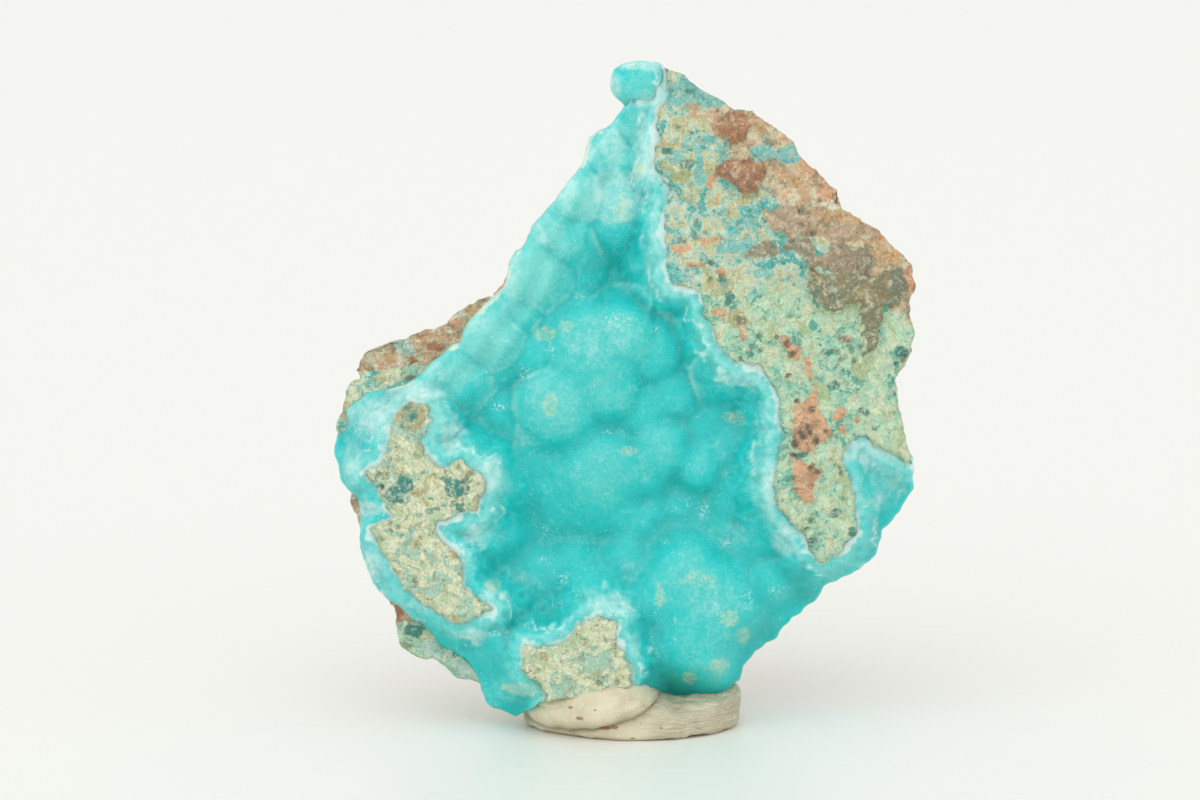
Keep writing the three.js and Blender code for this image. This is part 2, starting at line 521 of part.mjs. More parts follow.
/** The pad, with a folded flap pressed up in front of the rock and a roll at the right. */
function buildPutty(specimenMeshes) {
  const folds = [PUTTY_FLAP, PUTTY_ROLL].map(({ centre, radii }) => ball(centre, radii, 3));
  const pad = folds.reduce((joined, fold) => joined.add(fold), puttyPuck())
    .translate(PUTTY_CENTRE.x, PUTTY_CENTRE.y, 0);
  return mainPiece(pad.subtract(belowFloor()).subtract(footDent(specimenMeshes)));
}

// ---------------------------------------------------------------- assembly

function stone(color, roughness) {
  return new THREE.MeshStandardMaterial({ color, roughness, metalness: 0 });
}

function piece(name, solid, material) {
  const mesh = new THREE.Mesh(geometryFrom(solid), material);
  mesh.name = name;
  return mesh;
}

const specimen = new THREE.Group();
specimen.position.copy(SPECIMEN_SEAT);
specimen.rotation.x = -LEAN;
specimen.add(
  piece('matrix_rock', buildRock(), stone(0xb1b58c, 0.9)),
  piece('hemimorphite_crust', buildCrust(), stone(0x58cdc8, 0.45)),
);
specimen.updateMatrixWorld(true);

const object = new THREE.Group();
object.add(specimen, piece('mounting_putty', buildPutty(specimen.children), stone(0xc9c3a5, 0.8)));

// The origin is the middle of the footprint of the whole object's box.
const box = new THREE.Box3().setFromObject(object, true);
const middle = box.getCenter(new THREE.Vector3());
object.position.set(-middle.x, -middle.y, -box.min.z);

export default object;
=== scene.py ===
# %% [markdown]
# # Hemimorphite on matrix, dressed for the studio
#
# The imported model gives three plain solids: the matrix rock, the blue crust that lines its
# hollow, and the pad of putty that it stands in. This lesson replaces each of them with a
# detailed mesh in the same place and paints it with procedural materials.
#
# A mineral surface is a good subject for arrays: the shape is a depth for every point of the
# broken face, so numpy can work out a hundred thousand points at once, and the same fields
# that give the shape also say where the colours go.

# %% Load the frame
import math

import bpy
import numpy as np
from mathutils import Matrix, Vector


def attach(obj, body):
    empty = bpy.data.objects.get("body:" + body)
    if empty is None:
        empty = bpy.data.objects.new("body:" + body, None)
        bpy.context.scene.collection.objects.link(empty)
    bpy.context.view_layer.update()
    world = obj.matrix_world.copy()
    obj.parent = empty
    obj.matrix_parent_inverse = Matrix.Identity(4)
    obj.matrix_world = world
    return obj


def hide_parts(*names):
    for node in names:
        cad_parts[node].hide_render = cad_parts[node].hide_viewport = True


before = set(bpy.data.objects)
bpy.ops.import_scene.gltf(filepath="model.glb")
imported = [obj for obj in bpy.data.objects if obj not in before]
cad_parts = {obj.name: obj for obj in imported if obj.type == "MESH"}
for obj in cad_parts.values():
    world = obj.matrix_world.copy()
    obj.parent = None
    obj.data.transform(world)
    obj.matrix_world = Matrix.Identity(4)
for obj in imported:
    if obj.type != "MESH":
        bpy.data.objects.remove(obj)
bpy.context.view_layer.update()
print("solids of the frame:", sorted(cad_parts))

# %% [markdown]
# ## Where the specimen stands
#
# Everything on the specimen is drawn in its own frame, in millimetres: x to the right, z up
# along the broken face, and depth along y, away from the open side. The specimen leans back,
# so a short function turns that frame into metres above the shelf.

# %% The specimen's own frame
MM = 0.001
LEAN = math.radians(8)
HOLLOW_MIDDLE = np.array([1.27, -8.55, 30.6])  # the middle of the hollow, above the shelf


def on_the_shelf(points):
    """Points of the specimen's frame in mm, as places in metres above the shelf."""
    x, y, z = points.T
    turned = [x, y * math.cos(LEAN) + z * math.sin(LEAN), z * math.cos(LEAN) - y * math.sin(LEAN)]
    return (np.stack(turned, axis=1) + HOLLOW_MIDDLE) * MM


print("the middle of the hollow stands at", on_the_shelf(np.zeros((1, 3)))[0].round(4), "m")

# %% [markdown]
# ## Noise for thousands of points
#
# Blender's own noise works one point at a time. Here a small gradient noise is written for
# whole arrays. A hash of whole numbers stands for randomness, so every run gives the same
# rock.

# %% Gradient noise and its octaves
AXIS_PRIMES = (73856093, 19349663, 83492791)  # spread the whole numbers of the three axes
SEED_PRIME = 15485863
MIXING_ROUNDS = ((13, 1274126177), (15, 668265263))  # shift and factor of each round
LOW_BITS = 0x7FFFFFFF  # what is kept of a mixed number
GRID_SHIFT = 57.3  # moves the grid of the noises away from the middle of the specimen
NOISE_GAIN = 1.6  # brings the sum of the slopes to about -1 to 1
CORNERS = np.array([[i, j, k] for i in (0, 1) for j in (0, 1) for k in (0, 1)])


def hashed(cells, seed):
    """A repeatable number from 0 to 1 for each row of three whole numbers."""
    i, j, k = (cells[:, axis] * AXIS_PRIMES[axis] for axis in range(3))
    mixed = (i ^ j ^ k ^ seed * SEED_PRIME) & LOW_BITS
    for shift, factor in MIXING_ROUNDS:
        mixed = (mixed ^ (mixed >> shift)) * factor & LOW_BITS
    return (mixed >> 7 & 0xFFFF) / 0xFFFF


def three_hashed(cells, seed):
    """Three such numbers for each row, to place or to slope something in its cell."""
    return np.stack([hashed(cells, seed + k) for k in range(3)], axis=1)


def noise(points, grain, seed=0):
    """Smooth noise from about -1 to 1, with bumps about one grain apart."""
    scaled = points / grain + GRID_SHIFT
    cells = np.floor(scaled).astype(np.int64)
    inside = scaled - cells
    ease = inside ** 3 * (inside * (inside * 6 - 15) + 10)
    total = np.zeros(len(points))
    for corner in CORNERS:
        slope = three_hashed(cells + corner, 3 * seed) * 2 - 1
        weight = np.where(corner, ease, 1 - ease).prod(axis=1)
        total += weight * (slope * (inside - corner)).sum(axis=1)
    return NOISE_GAIN * total


def rough(points, grain, octaves=3, seed=0):
    """Several noises on top of each other, each half as high and as wide as the last."""
    return sum(noise(points, grain / 2 ** k, seed + 11 * k) / 2 ** k for k in range(octaves))


trial_points = np.random.default_rng(1).random((20000, 3)) * 60
trial = noise(trial_points, 3)
print("noise runs from", trial.min().round(2), "to", trial.max().round(2))

# %% Scattered cells
CELL_SEEDS = 101  # keeps the centres of the cells unlike the slopes of the noise
STEPS_TO_NEIGHBOURS = [(i, j, k) for i in (-1, 0, 1) for j in (-1, 0, 1) for k in (-1, 0, 1)]


def nearest_cell(points, grain, seed=0):
    """Distance, in grains, to the nearest of scattered centres."""
    scaled = points / grain + GRID_SHIFT
    home = np.floor(scaled).astype(np.int64)
    nearest = np.full(len(points), np.inf)
    for step in STEPS_TO_NEIGHBOURS:
        centre = home + step + three_hashed(home + step, 3 * seed + CELL_SEEDS)
        nearest = np.minimum(nearest, np.linalg.norm(scaled - centre, axis=1))
    return nearest


print("the nearest centre is up to", nearest_cell(trial_points, 3).max().round(2), "grains away")

# %% [markdown]
# ## The outlines of the face
#
# These are the driving lines of the specimen: the edge of the crust, the edge of the rock
# behind it, the bare patches where the rock comes through to the broken face, the mouth of
# the hollow and the crest along the upper left. Each point is [x, z] in mm.

# %% Outlines
FACE_OUTLINE = np.array([
    [23.3, 0.2], [23.3, 2.0], [24.4, 3.9], [25.0, 6.0], [24.4, 8.7], [25.0, 10.2], [24.6, 12.2],
    [23.2, 13.6], [21.6, 15.5], [18.4, 17.5], [17.9, 19.0], [14.7, 21.9], [13.9, 23.3],
    [12.3, 24.6], [10.2, 26.1], [8.6, 26.3], [6.7, 27.5], [5.0, 28.3], [4.0, 29.2], [2.7, 29.8],
    [1.6, 30.4], [0.6, 30.5], [-0.2, 30.1], [-0.8, 26.9], [-2.6, 24.9], [-4.5, 23.6],
    [-5.1, 21.3], [-7.6, 17.7], [-9.3, 16.3], [-11.3, 12.7], [-12.3, 10.0], [-13.9, 8.2],
    [-15.5, 6.7], [-15.9, 5.0], [-17.6, 4.3], [-19.3, 2.5], [-20.9, 1.3], [-24.7, 0.7],
    [-26.6, -0.9], [-27.4, -3.2],
    [-27.5, -5.6], [-26.7, -7.5], [-25.3, -8.8], [-25.1, -10.8], [-25.1, -14.4], [-23.7, -17.1],
    [-21.9, -18.4], [-20.0, -19.8], [-18.0, -22.1], [-15.8, -23.5], [-14.4, -25.7],
    [-13.9, -27.5], [-11.1, -28.5], [-9.9, -28.0], [-8.9, -27.1], [-6.4, -26.8], [-3.6, -26.3],
    [-0.4, -25.8], [1.4, -27.0], [3.6, -27.4], [5.8, -27.2], [8.1, -26.3], [9.1, -25.4],
    [9.4, -24.1], [10.5, -22.8], [12.4, -21.6], [13.9, -19.8], [15.8, -18.3], [16.8, -16.9],
    [19.8, -15.4], [21.4, -13.9], [22.1, -12.1], [23.7, -9.9], [24.7, -8.1], [24.7, -5.6],
    [23.9, -2.2],
])
ROCK_OUTLINE = np.array([
    [22.5, 0.0], [23.8, 5.0], [23.8, 11.5], [18.9, 16.0], [14.4, 20.5], [9.4, 24.5],
    [4.5, 27.2], [0.7, 27.7], [-1.6, 24.5], [-4.5, 21.1], [-8.5, 15.8], [-11.7, 11.2],
    [-13.2, 9.2], [-14.9, 8.5], [-16.6, 7.5], [-19.1, 6.2], [-21.2, 5.3], [-23.2, 5.3],
    [-25.4, 4.3], [-26.2, 2.9], [-26.8, 0.9], [-27.1, -1.8], [-26.6, -4.5], [-25.9, -8.1],
    [-25.6, -10.6], [-25.9, -12.2], [-25.3, -14.0], [-23.4, -16.6], [-22.1, -18.4],
    [-22.3, -20.9], [-21.8, -22.7], [-20.4, -23.4], [-18.2, -23.5], [-16.5, -24.6],
    [-14.6, -25.2], [-10.8, -26.0], [-3.6, -26.4], [5.4, -25.6], [9.2, -23.3], [14.4, -18.4],
    [20.3, -13.5], [21.5, -11.6], [22.8, -9.6], [23.2, -6.1], [22.3, -2.9],
])
RIGHT_PATCH = np.array([
    [2.2, 31.7], [2.6, 29.0], [2.8, 27.4], [1.9, 25.9], [1.6, 23.4], [1.5, 20.7], [2.8, 18.7],
    [2.1, 16.7], [2.3, 13.5], [2.8, 10.7], [5.7, 9.7], [5.9, 7.9], [7.4, 4.8], [8.5, 3.4],
    [10.9, 3.1], [12.5, 0.7], [13.0, -2.6], [12.5, -5.9], [12.1, -8.0], [12.8, -9.7],
    [14.8, -12.1], [15.2, -13.5], [16.6, -14.5], [18.2, -13.7], [19.4, -12.1], [19.5, -10.1],
    [18.7, -6.7], [18.2, -5.0], [18.8, -3.6], [20.5, -3.2], [22.5, -4.3], [26.6, -7.0],
    [32.4, 1.8], [28.8, 25.2], [10.8, 33.3],
])
LEFT_PATCH = np.array([
    [-20.8, -0.1], [-19.4, -0.6], [-18.9, -1.9], [-19.8, -3.5], [-19.4, -4.9], [-17.7, -6.3],
    [-15.9, -5.6], [-14.6, -6.4], [-14.2, -7.7], [-14.8, -10.0], [-18.4, -11.0], [-18.2, -12.4],
    [-16.3, -14.3], [-15.9, -16.9], [-13.6, -18.9], [-16.3, -20.1], [-19.7, -18.4],
    [-21.4, -16.9], [-21.8, -15.4], [-23.6, -13.3], [-24.2, -11.7], [-22.1, -10.6],
    [-23.6, -8.5], [-23.8, -7.3], [-25.1, -6.8], [-23.4, -5.7], [-23.1, -4.5], [-22.4, -3.3],
    [-22.5, -2.4],
])
BOTTOM_PATCH = np.array([
    [-10.2, -22.5], [-7.6, -22.3], [-5.6, -21.0], [-4.8, -19.8], [-3.6, -19.3], [-2.3, -20.0],
    [-1.8, -22.3], [-1.0, -24.3], [-0.9, -29.7], [-8.2, -29.7], [-8.3, -26.6], [-9.6, -25.3],
    [-10.4, -24.0],
])
HOLLOW_MOUTH = np.array([
    [1.1, 26.3], [0.9, 23.4], [0.7, 20.7], [1.8, 18.4], [1.1, 16.6], [1.3, 13.5], [1.8, 10.8],
    [4.0, 9.4], [4.7, 7.4], [5.8, 5.0], [7.9, 2.4], [10.3, 1.3], [11.0, -0.4], [10.6, -3.6],
    [10.3, -6.3], [10.5, -8.5], [11.3, -10.6], [12.6, -13.1], [14.4, -15.3], [17.1, -17.1],
    [17.6, -19.8], [13.5, -22.5], [10.5, -24.1], [9.4, -27.0], [0.9, -27.4], [0.0, -22.9],
    [-0.7, -20.2], [-2.5, -18.4], [-4.5, -18.2], [-6.1, -20.2], [-7.6, -21.7], [-10.8, -21.6],
    [-12.6, -20.9], [-13.3, -19.8], [-12.9, -18.4], [-14.6, -17.1], [-15.5, -15.3],
    [-15.8, -13.0], [-14.4, -11.0], [-13.5, -9.4], [-13.2, -7.2], [-14.6, -5.2], [-16.4, -4.3],
    [-18.0, -3.6], [-18.4, -1.3], [-17.6, 1.3], [-15.3, 4.5], [-13.0, 7.2], [-11.5, 10.4],
    [-10.3, 13.3], [-7.9, 16.6], [-5.4, 19.6], [-3.2, 22.9], [-1.3, 25.0], [0.0, 27.0],
])
CREST_LINE = np.array([
    [0.7, 29.5], [-1.1, 25.9], [-3.3, 22.9], [-5.7, 19.3], [-8.3, 16.0], [-10.4, 13.1],
    [-11.7, 9.9], [-13.9, 7.4], [-15.5, 5.1], [-18.0, 2.9], [-20.0, 1.1],
])
PATCHES = (RIGHT_PATCH, LEFT_PATCH, BOTTOM_PATCH)
width, height = FACE_OUTLINE.max(axis=0) - FACE_OUTLINE.min(axis=0)
print(f"the broken face is {width:.1f} mm wide and {height:.1f} mm high")

# %% [markdown]
# ## Measuring against an outline
#
# Most of the shape follows from one number: how far a point is from an outline, negative
# inside it. Rounded steps and a soft maximum then turn distances into walls and hollows.

# %% Distances and soft steps
def smoothstep(value, start, end):
    """0 before start, 1 after end, and a smooth rise between them."""
    share = np.clip((value - start) / (end - start), 0, 1)
    return share * share * (3 - 2 * share)


def soft_max(a, b, blend):
    """The larger of two heights, with the crease between them rounded."""
    share = np.clip(0.5 + 0.5 * (a - b) / blend, 0, 1)
    return b + (a - b) * share + blend * share * (1 - share)


def distance_to_line(x, z, line):
    """Distance to a line through several places."""
    nearest = np.full(x.shape, np.inf)
    for (ax, az), (bx, bz) in zip(line[:-1], line[1:]):
        dx, dz = bx - ax, bz - az
        along = np.clip(((x - ax) * dx + (z - az) * dz) / (dx * dx + dz * dz), 0, 1)
        nearest = np.minimum(nearest, np.hypot(x - ax - along * dx, z - az - along * dz))
    return nearest


def signed_distance(x, z, outline):
    """Distance to a closed outline, negative inside it."""
    inside = np.zeros(x.shape, bool)
    for (xi, zi), (xj, zj) in zip(outline, np.roll(outline, 1, axis=0)):
        if zi != zj:
            inside ^= ((zi > z) != (zj > z)) & (x < (xj - xi) * (z - zi) / (zj - zi) + xi)
    edge = distance_to_line(x, z, np.vstack([outline, outline[:1]]))
    return np.where(inside, -edge, edge)


def distance_to_patch(x, z):
    """Distance to the nearest bare patch, negative inside it."""
    return np.minimum.reduce([signed_distance(x, z, patch) for patch in PATCHES])


at_middle = np.zeros((2, 1))
print(f"the nearest patch is {distance_to_patch(*at_middle)[0]:.1f} mm from the hollow's middle")

# %% [markdown]
# ## The crust as a field of heights
#
# The real crust grew as needles that radiate from many seeds, so its skin is a heap of
# domes that meet in sharp clefts. Metaballs could make it, but they swell where they meet.
# Here each lump is a dome in a height field and the highest one wins, which keeps the clefts
# narrow. Smaller domes from scattered cells ride on the large ones.

# %% Lumps of the crust
LUMPS = [  # x, z, radius of the visible cap, height of the top
    [-2.0, 18.2, 3.4, 1.3], [-2.8, 22.5, 2.6, 1.7], [0.7, 25.4, 1.7, 2.4], [0.7, 27.4, 1.7, 2.75],
    [0.6, 22.4, 1.5, 1.5], [-6.2, 18.8, 1.8, 2.4], [-7.6, 15.6, 2.3, 1.8], [-10.6, 11.6, 2.2, 2.3],
    [-12.0, 8.7, 1.9, 1.7], [-14.2, 6.4, 2.3, 2.2], [-17.2, 3.0, 2.5, 1.8], [-6.9, 11.4, 3.0, -0.4],
    [-0.8, 10.9, 3.2, -1.8], [-7.0, 5.8, 4.5, 0.2], [-4.3, 4.3, 3.8, 1.2], [-1.6, 5.9, 2.3, 1.3],
    [0.9, 5.2, 2.5, 0.5], [-9.6, 4.3, 2.0, 0.5], [-7.6, -0.2, 2.8, 1.2], [-3.4, 1.4, 2.3, 0.8],
    [-13.2, 4.2, 2.6, 0.4], [-12.6, -0.7, 2.5, -0.4], [2.9, 1.1, 2.3, -0.8], [0.0, -0.4, 2.5, -0.8],
    [4.7, 5.6, 2.5, -0.6], [7.4, 2.5, 2.0, 0.2], [8.5, -0.4, 2.5, -1.0], [6.5, -2.5, 2.3, -1.4],
    [9.4, -4.1, 2.2, -0.8], [-10.8, -3.8, 2.5, -0.8], [-8.9, -6.8, 2.9, -1.2], [-4.1, -5.9, 3.4, -0.4],
    [0.0, -5.9, 2.5, -1.4], [2.0, -4.1, 2.0, -0.8], [5.8, -5.8, 1.8, -1.1], [-6.7, -9.5, 2.3, -1.8],
    [-3.1, -9.2, 2.3, -1.6], [-9.9, -11.3, 2.7, -2.2], [-4.5, -12.4, 2.5, -2.6],
    [-0.4, -11.3, 2.3, -2.0], [2.2, -9.7, 1.8, -2.6], [4.5, -10.1, 1.8, -2.4],
    [5.2, -12.6, 1.8, -2.6], [8.8, -12.1, 2.8, -1.2], [11.0, -14.0, 2.2, -0.2],
    [-9.9, -16.7, 2.8, -0.6], [-6.3, -15.5, 1.8, -1.0], [-1.3, -15.7, 2.3, -1.0],
    [1.3, -18.5, 1.8, 0.8], [4.5, -17.3, 3.1, 1.2], [7.6, -18.5, 3.2, 1.2], [5.4, -21.6, 3.8, 1.5],
    [6.8, -24.1, 1.6, 1.6], [1.3, -22.9, 2.0, 0.4], [-13.3, -12.2, 1.6, 0.4],
    [-14.9, -12.4, 1.4, 1.6], [-12.6, -25.9, 2.2, 2.0], [-10.3, -25.6, 2.0, 2.2],
    [-14.2, -22.5, 2.3, 2.0], [-17.6, -20.9, 2.0, 1.8], [12.1, -16.6, 1.6, 0.6],
    [13.7, -18.9, 2.7, -0.2], [22.0, -8.3, 3.1, 1.8], [18.5, -15.3, 2.3, 1.4],
    [-22.9, -16.2, 2.3, 2.2], [-25.9, -6.3, 2.7, 2.0], [-22.5, -1.3, 2.7, 1.9], [-19.8, 0.0, 2.2, 1.7],
    [10.6, -7.4, 2.0, -0.2], [-6.8, -21.6, 1.6, 0.8], [3.2, 9.0, 1.6, -0.2], [1.4, 13.9, 1.4, 0.2],
    [-15.7, -2.9, 1.8, -0.6], [-12.2, -7.4, 1.8, -0.6], [9.2, -8.8, 1.8, -1.0],
    [12.2, -11.9, 1.6, 0.6], [-4.5, -17.6, 1.4, 0.8],
]
LUMP_SPREAD = 1.42  # how much wider than its visible cap the ball of a lump is
LUMP_SQUASH = 0.54  # how flat the balls are
PLATE_SQUASH = 0.46  # the same for the plates along the crest and the rim
PLATE_TOP = 1.55  # lumps that stand this high are plates
LUMP_SKIRT = 0.9  # the share of a ball's radius past which it falls straight down
print(len(LUMPS), "named lumps")

# %% Depths over the face
FACE_HEIGHT = 3.0  # height of the broken face, in the heights that the crust is given in
CRUST_THICKNESS = 1.8  # from the smooth bowl of the crust back to the bowl of the rock
RIM_WIDTH = 1.0  # how wide the broken rim beside a patch stays at the height of the face
BOWL_FLOOR = -4.4  # height of the floor in the wide part of the hollow
FLOOR_RISE = 4.8  # how much higher the floor is in the narrow end by the tip
APRON_HEIGHT = 1.7  # the level that the crust grows on outside the mouth of the hollow
BOWL_BLEND = 1.6  # how softly the walls run into the floor
EDGE_ROLL = 2.4  # how far the outer edge of the crust turns back


def face_depth(x, z):
    """The broken face: slightly domed, and falling away at the right."""
    return 0.0045 * (x + 2) ** 2 + 0.0022 * (z + 4) ** 2 + 0.08 * np.maximum(0, x - 5)


def bowl_height(x, z, to_patch):
    """The bowl that the lumps grow on: a floor with walls up to the rim and the crest."""
    outside = smoothstep(signed_distance(x, z, HOLLOW_MOUTH), -1.8, 1.8)
    inside = BOWL_FLOOR + FLOOR_RISE * smoothstep(z, 14, 23)
    floor = inside + (APRON_HEIGHT - inside) * outside
    rim_wall = FACE_HEIGHT - 1.35 * np.maximum(0, to_patch - RIM_WIDTH)
    crest_wall = 1.4 - 1.7 * np.maximum(0, distance_to_line(x, z, CREST_LINE) - 0.4)
    return soft_max(soft_max(rim_wall, crest_wall, BOWL_BLEND), floor, BOWL_BLEND)


def lump_surface(x, z, lump):
    """Height of one lump: a squashed ball that goes straight down past its skirt."""
    lump_x, lump_z, cap_radius, top = lump
    radius = cap_radius * LUMP_SPREAD
    off = np.hypot(x - lump_x, z - lump_z) / radius
    drop = math.sqrt(1 - LUMP_SKIRT ** 2)
    dome = 1 - np.sqrt(np.clip(1 - off ** 2, 0, 1))
    side = 1 - drop + (off - LUMP_SKIRT) * LUMP_SKIRT / drop
    squash = PLATE_SQUASH if top >= PLATE_TOP else LUMP_SQUASH
    return top - squash * radius * np.where(off < LUMP_SKIRT, dome, side)


def lump_height(x, z, to_patch):
    """Height of the lumps over the bowl. The lower ones flow together more."""
    height = bowl_height(x, z, to_patch)
    for lump in LUMPS:
        lump_x, lump_z, cap_radius, top = lump
        blend = 0.22 if top >= PLATE_TOP else 0.25 + 0.7 * smoothstep(4 - lump_z, 0, 12)
        near = np.hypot(x - lump_x, z - lump_z) < 3 * cap_radius
        surface = lump_surface(x[near], z[near], lump)
        height[near] = soft_max(surface, height[near], blend)
    limit = FACE_HEIGHT + 0.35 * np.maximum(0, to_patch - 1.5)
    return -soft_max(-height, -limit, 0.4)


def edge_roll(x, z, to_patch):
    """How far the crust turns back at its outer edge, except beside a patch or the crest."""
    edge = 1 - smoothstep(-signed_distance(x, z, FACE_OUTLINE), 0, 3.6)
    by_patch = 0.25 + 0.75 * smoothstep(to_patch, 0.8, 2.6)
    return EDGE_ROLL * edge * by_patch * smoothstep(distance_to_line(x, z, CREST_LINE), 0.6, 3)


lumps_at_middle = lump_height(*at_middle, distance_to_patch(*at_middle))[0]
print(f"the middle of the hollow lies {FACE_HEIGHT - lumps_at_middle:.1f} mm behind the face")

# %% [markdown]
# ## One closed skin for a plate-like body
#
# Both the rock and the crust are plates with a front, a side and a back. A square grid bent
# into a disc covers the front with even faces, rings carry it round the side, and further
# rings close the back. The outline enters as a reach for every direction from the middle of
# the hollow, smoothed towards the middle so that no face is stretched.

# %% Reach of an outline
HOLLOW_CENTRE = (-1.0, -1.5)  # where the rays start, x, z
DIRECTIONS = np.linspace(-math.pi, math.pi, 2881)[:-1]  # eight rays in each degree
TINY = 1e-9  # stands in for a divisor of 0
INNER_EVENING = 9  # degrees over which the inner rings follow the outline


def reach(outline):
    """How far an outline lies from the middle of the hollow, in every direction."""
    far = np.zeros(DIRECTIONS.shape)
    dx, dz = np.cos(DIRECTIONS), np.sin(DIRECTIONS)
    for start, end in zip(np.roll(outline, 1, axis=0), outline):
        (ax, az), (ex, ez) = start - HOLLOW_CENTRE, end - start
        cross = dx * ez - dz * ex
        cross = np.where(np.abs(cross) < TINY, TINY, cross)
        distance = (ax * ez - az * ex) / cross
        along = (ax * dz - az * dx) / cross
        far = np.where((along >= 0) & (along <= 1), np.maximum(far, distance), far)
    return far


def smoothed(reaches, degrees):
    """The same reaches, evened out over some degrees."""
    turns = np.fft.rfftfreq(len(reaches)) * len(reaches)
    soft = np.exp(-0.5 * (turns * math.radians(degrees)) ** 2)
    return np.fft.irfft(np.fft.rfft(reaches) * soft, n=len(reaches))


def from_centre(distance, angle):
    """x and z of places at a distance and an angle from the centre."""
    return HOLLOW_CENTRE[0] + distance * np.cos(angle), HOLLOW_CENTRE[1] + distance * np.sin(angle)


def at_angle(reaches, angle):
    return np.interp(angle, DIRECTIONS, reaches, period=2 * math.pi)


def places(reaches, share, angle):
    """x and z at a share of the reach. Only the outermost rings follow its small waves."""
    even = at_angle(smoothed(reaches, INNER_EVENING), angle)
    return from_centre(share * even + share ** 7 * (at_angle(reaches, angle) - even), angle)


def surface_of(reaches, depth):
    """A function that places points on a surface, from its outline and its depth."""
    def place(share, angle):
        x, z = places(reaches, share, angle)
        return np.stack([x, depth(x, z), z], axis=1)
    return place


face_reach = reach(FACE_OUTLINE)
print(f"the outline lies {face_reach.min():.1f} to {face_reach.max():.1f} mm from the centre")

# %% The closed plate
def square_disc(count):
    """A square grid bent into a disc: share of the reach and angle of each of its points."""
    steps = np.linspace(-1, 1, count)
    u, v = np.meshgrid(steps, steps)
    wide = np.abs(u) > np.abs(v)
    u_safe, v_safe = np.where(u == 0, TINY, u), np.where(v == 0, TINY, v)
    turn = np.where(wide, math.pi / 4 * v / u_safe, math.pi / 2 - math.pi / 4 * u / v_safe)
    signed = np.where(wide, u, v)
    share = np.abs(signed)
    return share, np.arctan2(signed * np.sin(turn), signed * np.cos(turn))


def rim_of(count):
    """Indices of a square grid's border, in order round it."""
    index = np.arange(count * count).reshape(count, count)
    return np.concatenate([index[0, :-1], index[:-1, -1], index[-1, :0:-1], index[:0:-1, 0]])


def plate(count, side_rings, back_rings, front_place, side_place, back_place):
    """Points, quads and last triangles of a plate, from what places its front, side and back."""
    share, angle = square_disc(count)
    front_points = front_place(share.ravel(), angle.ravel())
    rim = rim_of(count)
    rim_angle = angle.ravel()[rim]
    points = [front_points]
    for step in range(1, side_rings + 1):
        points.append(side_place(step / side_rings, rim_angle, front_points[rim]))
    for step in range(1, back_rings):
        points.append(back_place(np.full(len(rim), 1 - step / back_rings), rim_angle))
    points.append(back_place(np.zeros(1), np.zeros(1)))
    points = np.vstack(points)
    grid = np.arange(count * count).reshape(count, count)
    corners = [grid[:-1, :-1], grid[:-1, 1:], grid[1:, 1:], grid[1:, :-1]]
    faces = [np.stack([corner.ravel() for corner in corners], axis=1)]
    later = count * count + np.arange((side_rings + back_rings - 1) * len(rim))
    rings = [rim, *later.reshape(-1, len(rim))]
    for inner, outer in zip(rings[:-1], rings[1:]):
        faces.append(np.stack([inner, outer, np.roll(outer, -1), np.roll(inner, -1)], axis=1))
    last = rings[-1]
    cap = np.stack([last, np.full(len(last), len(points) - 1), np.roll(last, -1)], axis=1)
    return points, np.vstack(faces), cap


print("a grid of 5 by 5 points has", len(rim_of(5)), "points round its border")

# %% Meshes and painted fields
def mesh_from(name, points, quads, triangles):
    """A smooth mesh object from points in metres."""
    mesh = bpy.data.meshes.new(name)
    mesh.from_pydata(points.tolist(), [], quads.tolist() + triangles.tolist())
    mesh.shade_smooth()
    piece = bpy.data.objects.new(name, mesh)
    bpy.context.scene.collection.objects.link(piece)
    mesh.calc_loop_triangles()
    print(name, "has", len(mesh.loop_triangles), "triangles")
    return piece


def normals_of(points, quads, triangles):
    """The direction in which each point of a closed mesh faces."""
    normals = np.zeros(points.shape)
    for faces in (quads[:, [0, 1, 2]], quads[:, [0, 2, 3]], triangles):
        a, b, c = (points[faces[:, k]] for k in range(3))
        across = np.cross(b - a, c - a)
        for k in range(3):
            for axis in range(3):
                normals[:, axis] += np.bincount(faces[:, k], across[:, axis], len(points))
    return normals / np.maximum(np.linalg.norm(normals, axis=1, keepdims=True), 1e-12)


def paint(piece, **fields):
    """Stores fields, each with one number or one colour for each point of a piece's mesh."""
    for name, values in fields.items():
        if values.ndim == 1:
            layer = piece.data.attributes.new(name, "FLOAT", "POINT")
            layer.data.foreach_set("value", values.astype(np.float32))
        else:
            layer = piece.data.attributes.new(name, "FLOAT_COLOR", "POINT")
            opaque = np.concatenate([values, np.ones((len(values), 1))], axis=1)
            layer.data.foreach_set("color", opaque.astype(np.float32).ravel())
    print(piece.name, "is painted with", ", ".join(fields))


# %% [markdown]
# ## The hemimorphite crust
#
# Inside a bare patch the skin of the crust dives behind the rock's broken face, so the two
# surfaces cross along the patch and no gap can show. Beside a patch it keeps a flat broken
# rim, because the break went through rock and crust alike.

# %% Depth of the crust
PATCH_DIVE = 1.7  # how far the crust sinks behind the rock inside a bare patch
KNOB_DIVE = 1.6  # how far its edge sinks into the knob at the tip


def flat(x, z, layer=0.0):
    """Face coordinates as 3-D points, for the noises."""
    return np.stack([x, np.full(x.shape, layer), z], axis=1)


def ragged_patch(x, z):
    """Distance to the nearest patch, with the torn edge that a break leaves."""
    torn = 0.3 * noise(flat(x, z), 1.7, 5) + 0.26 * noise(flat(x, z), 0.7, 6)
    return distance_to_patch(x, z) + torn


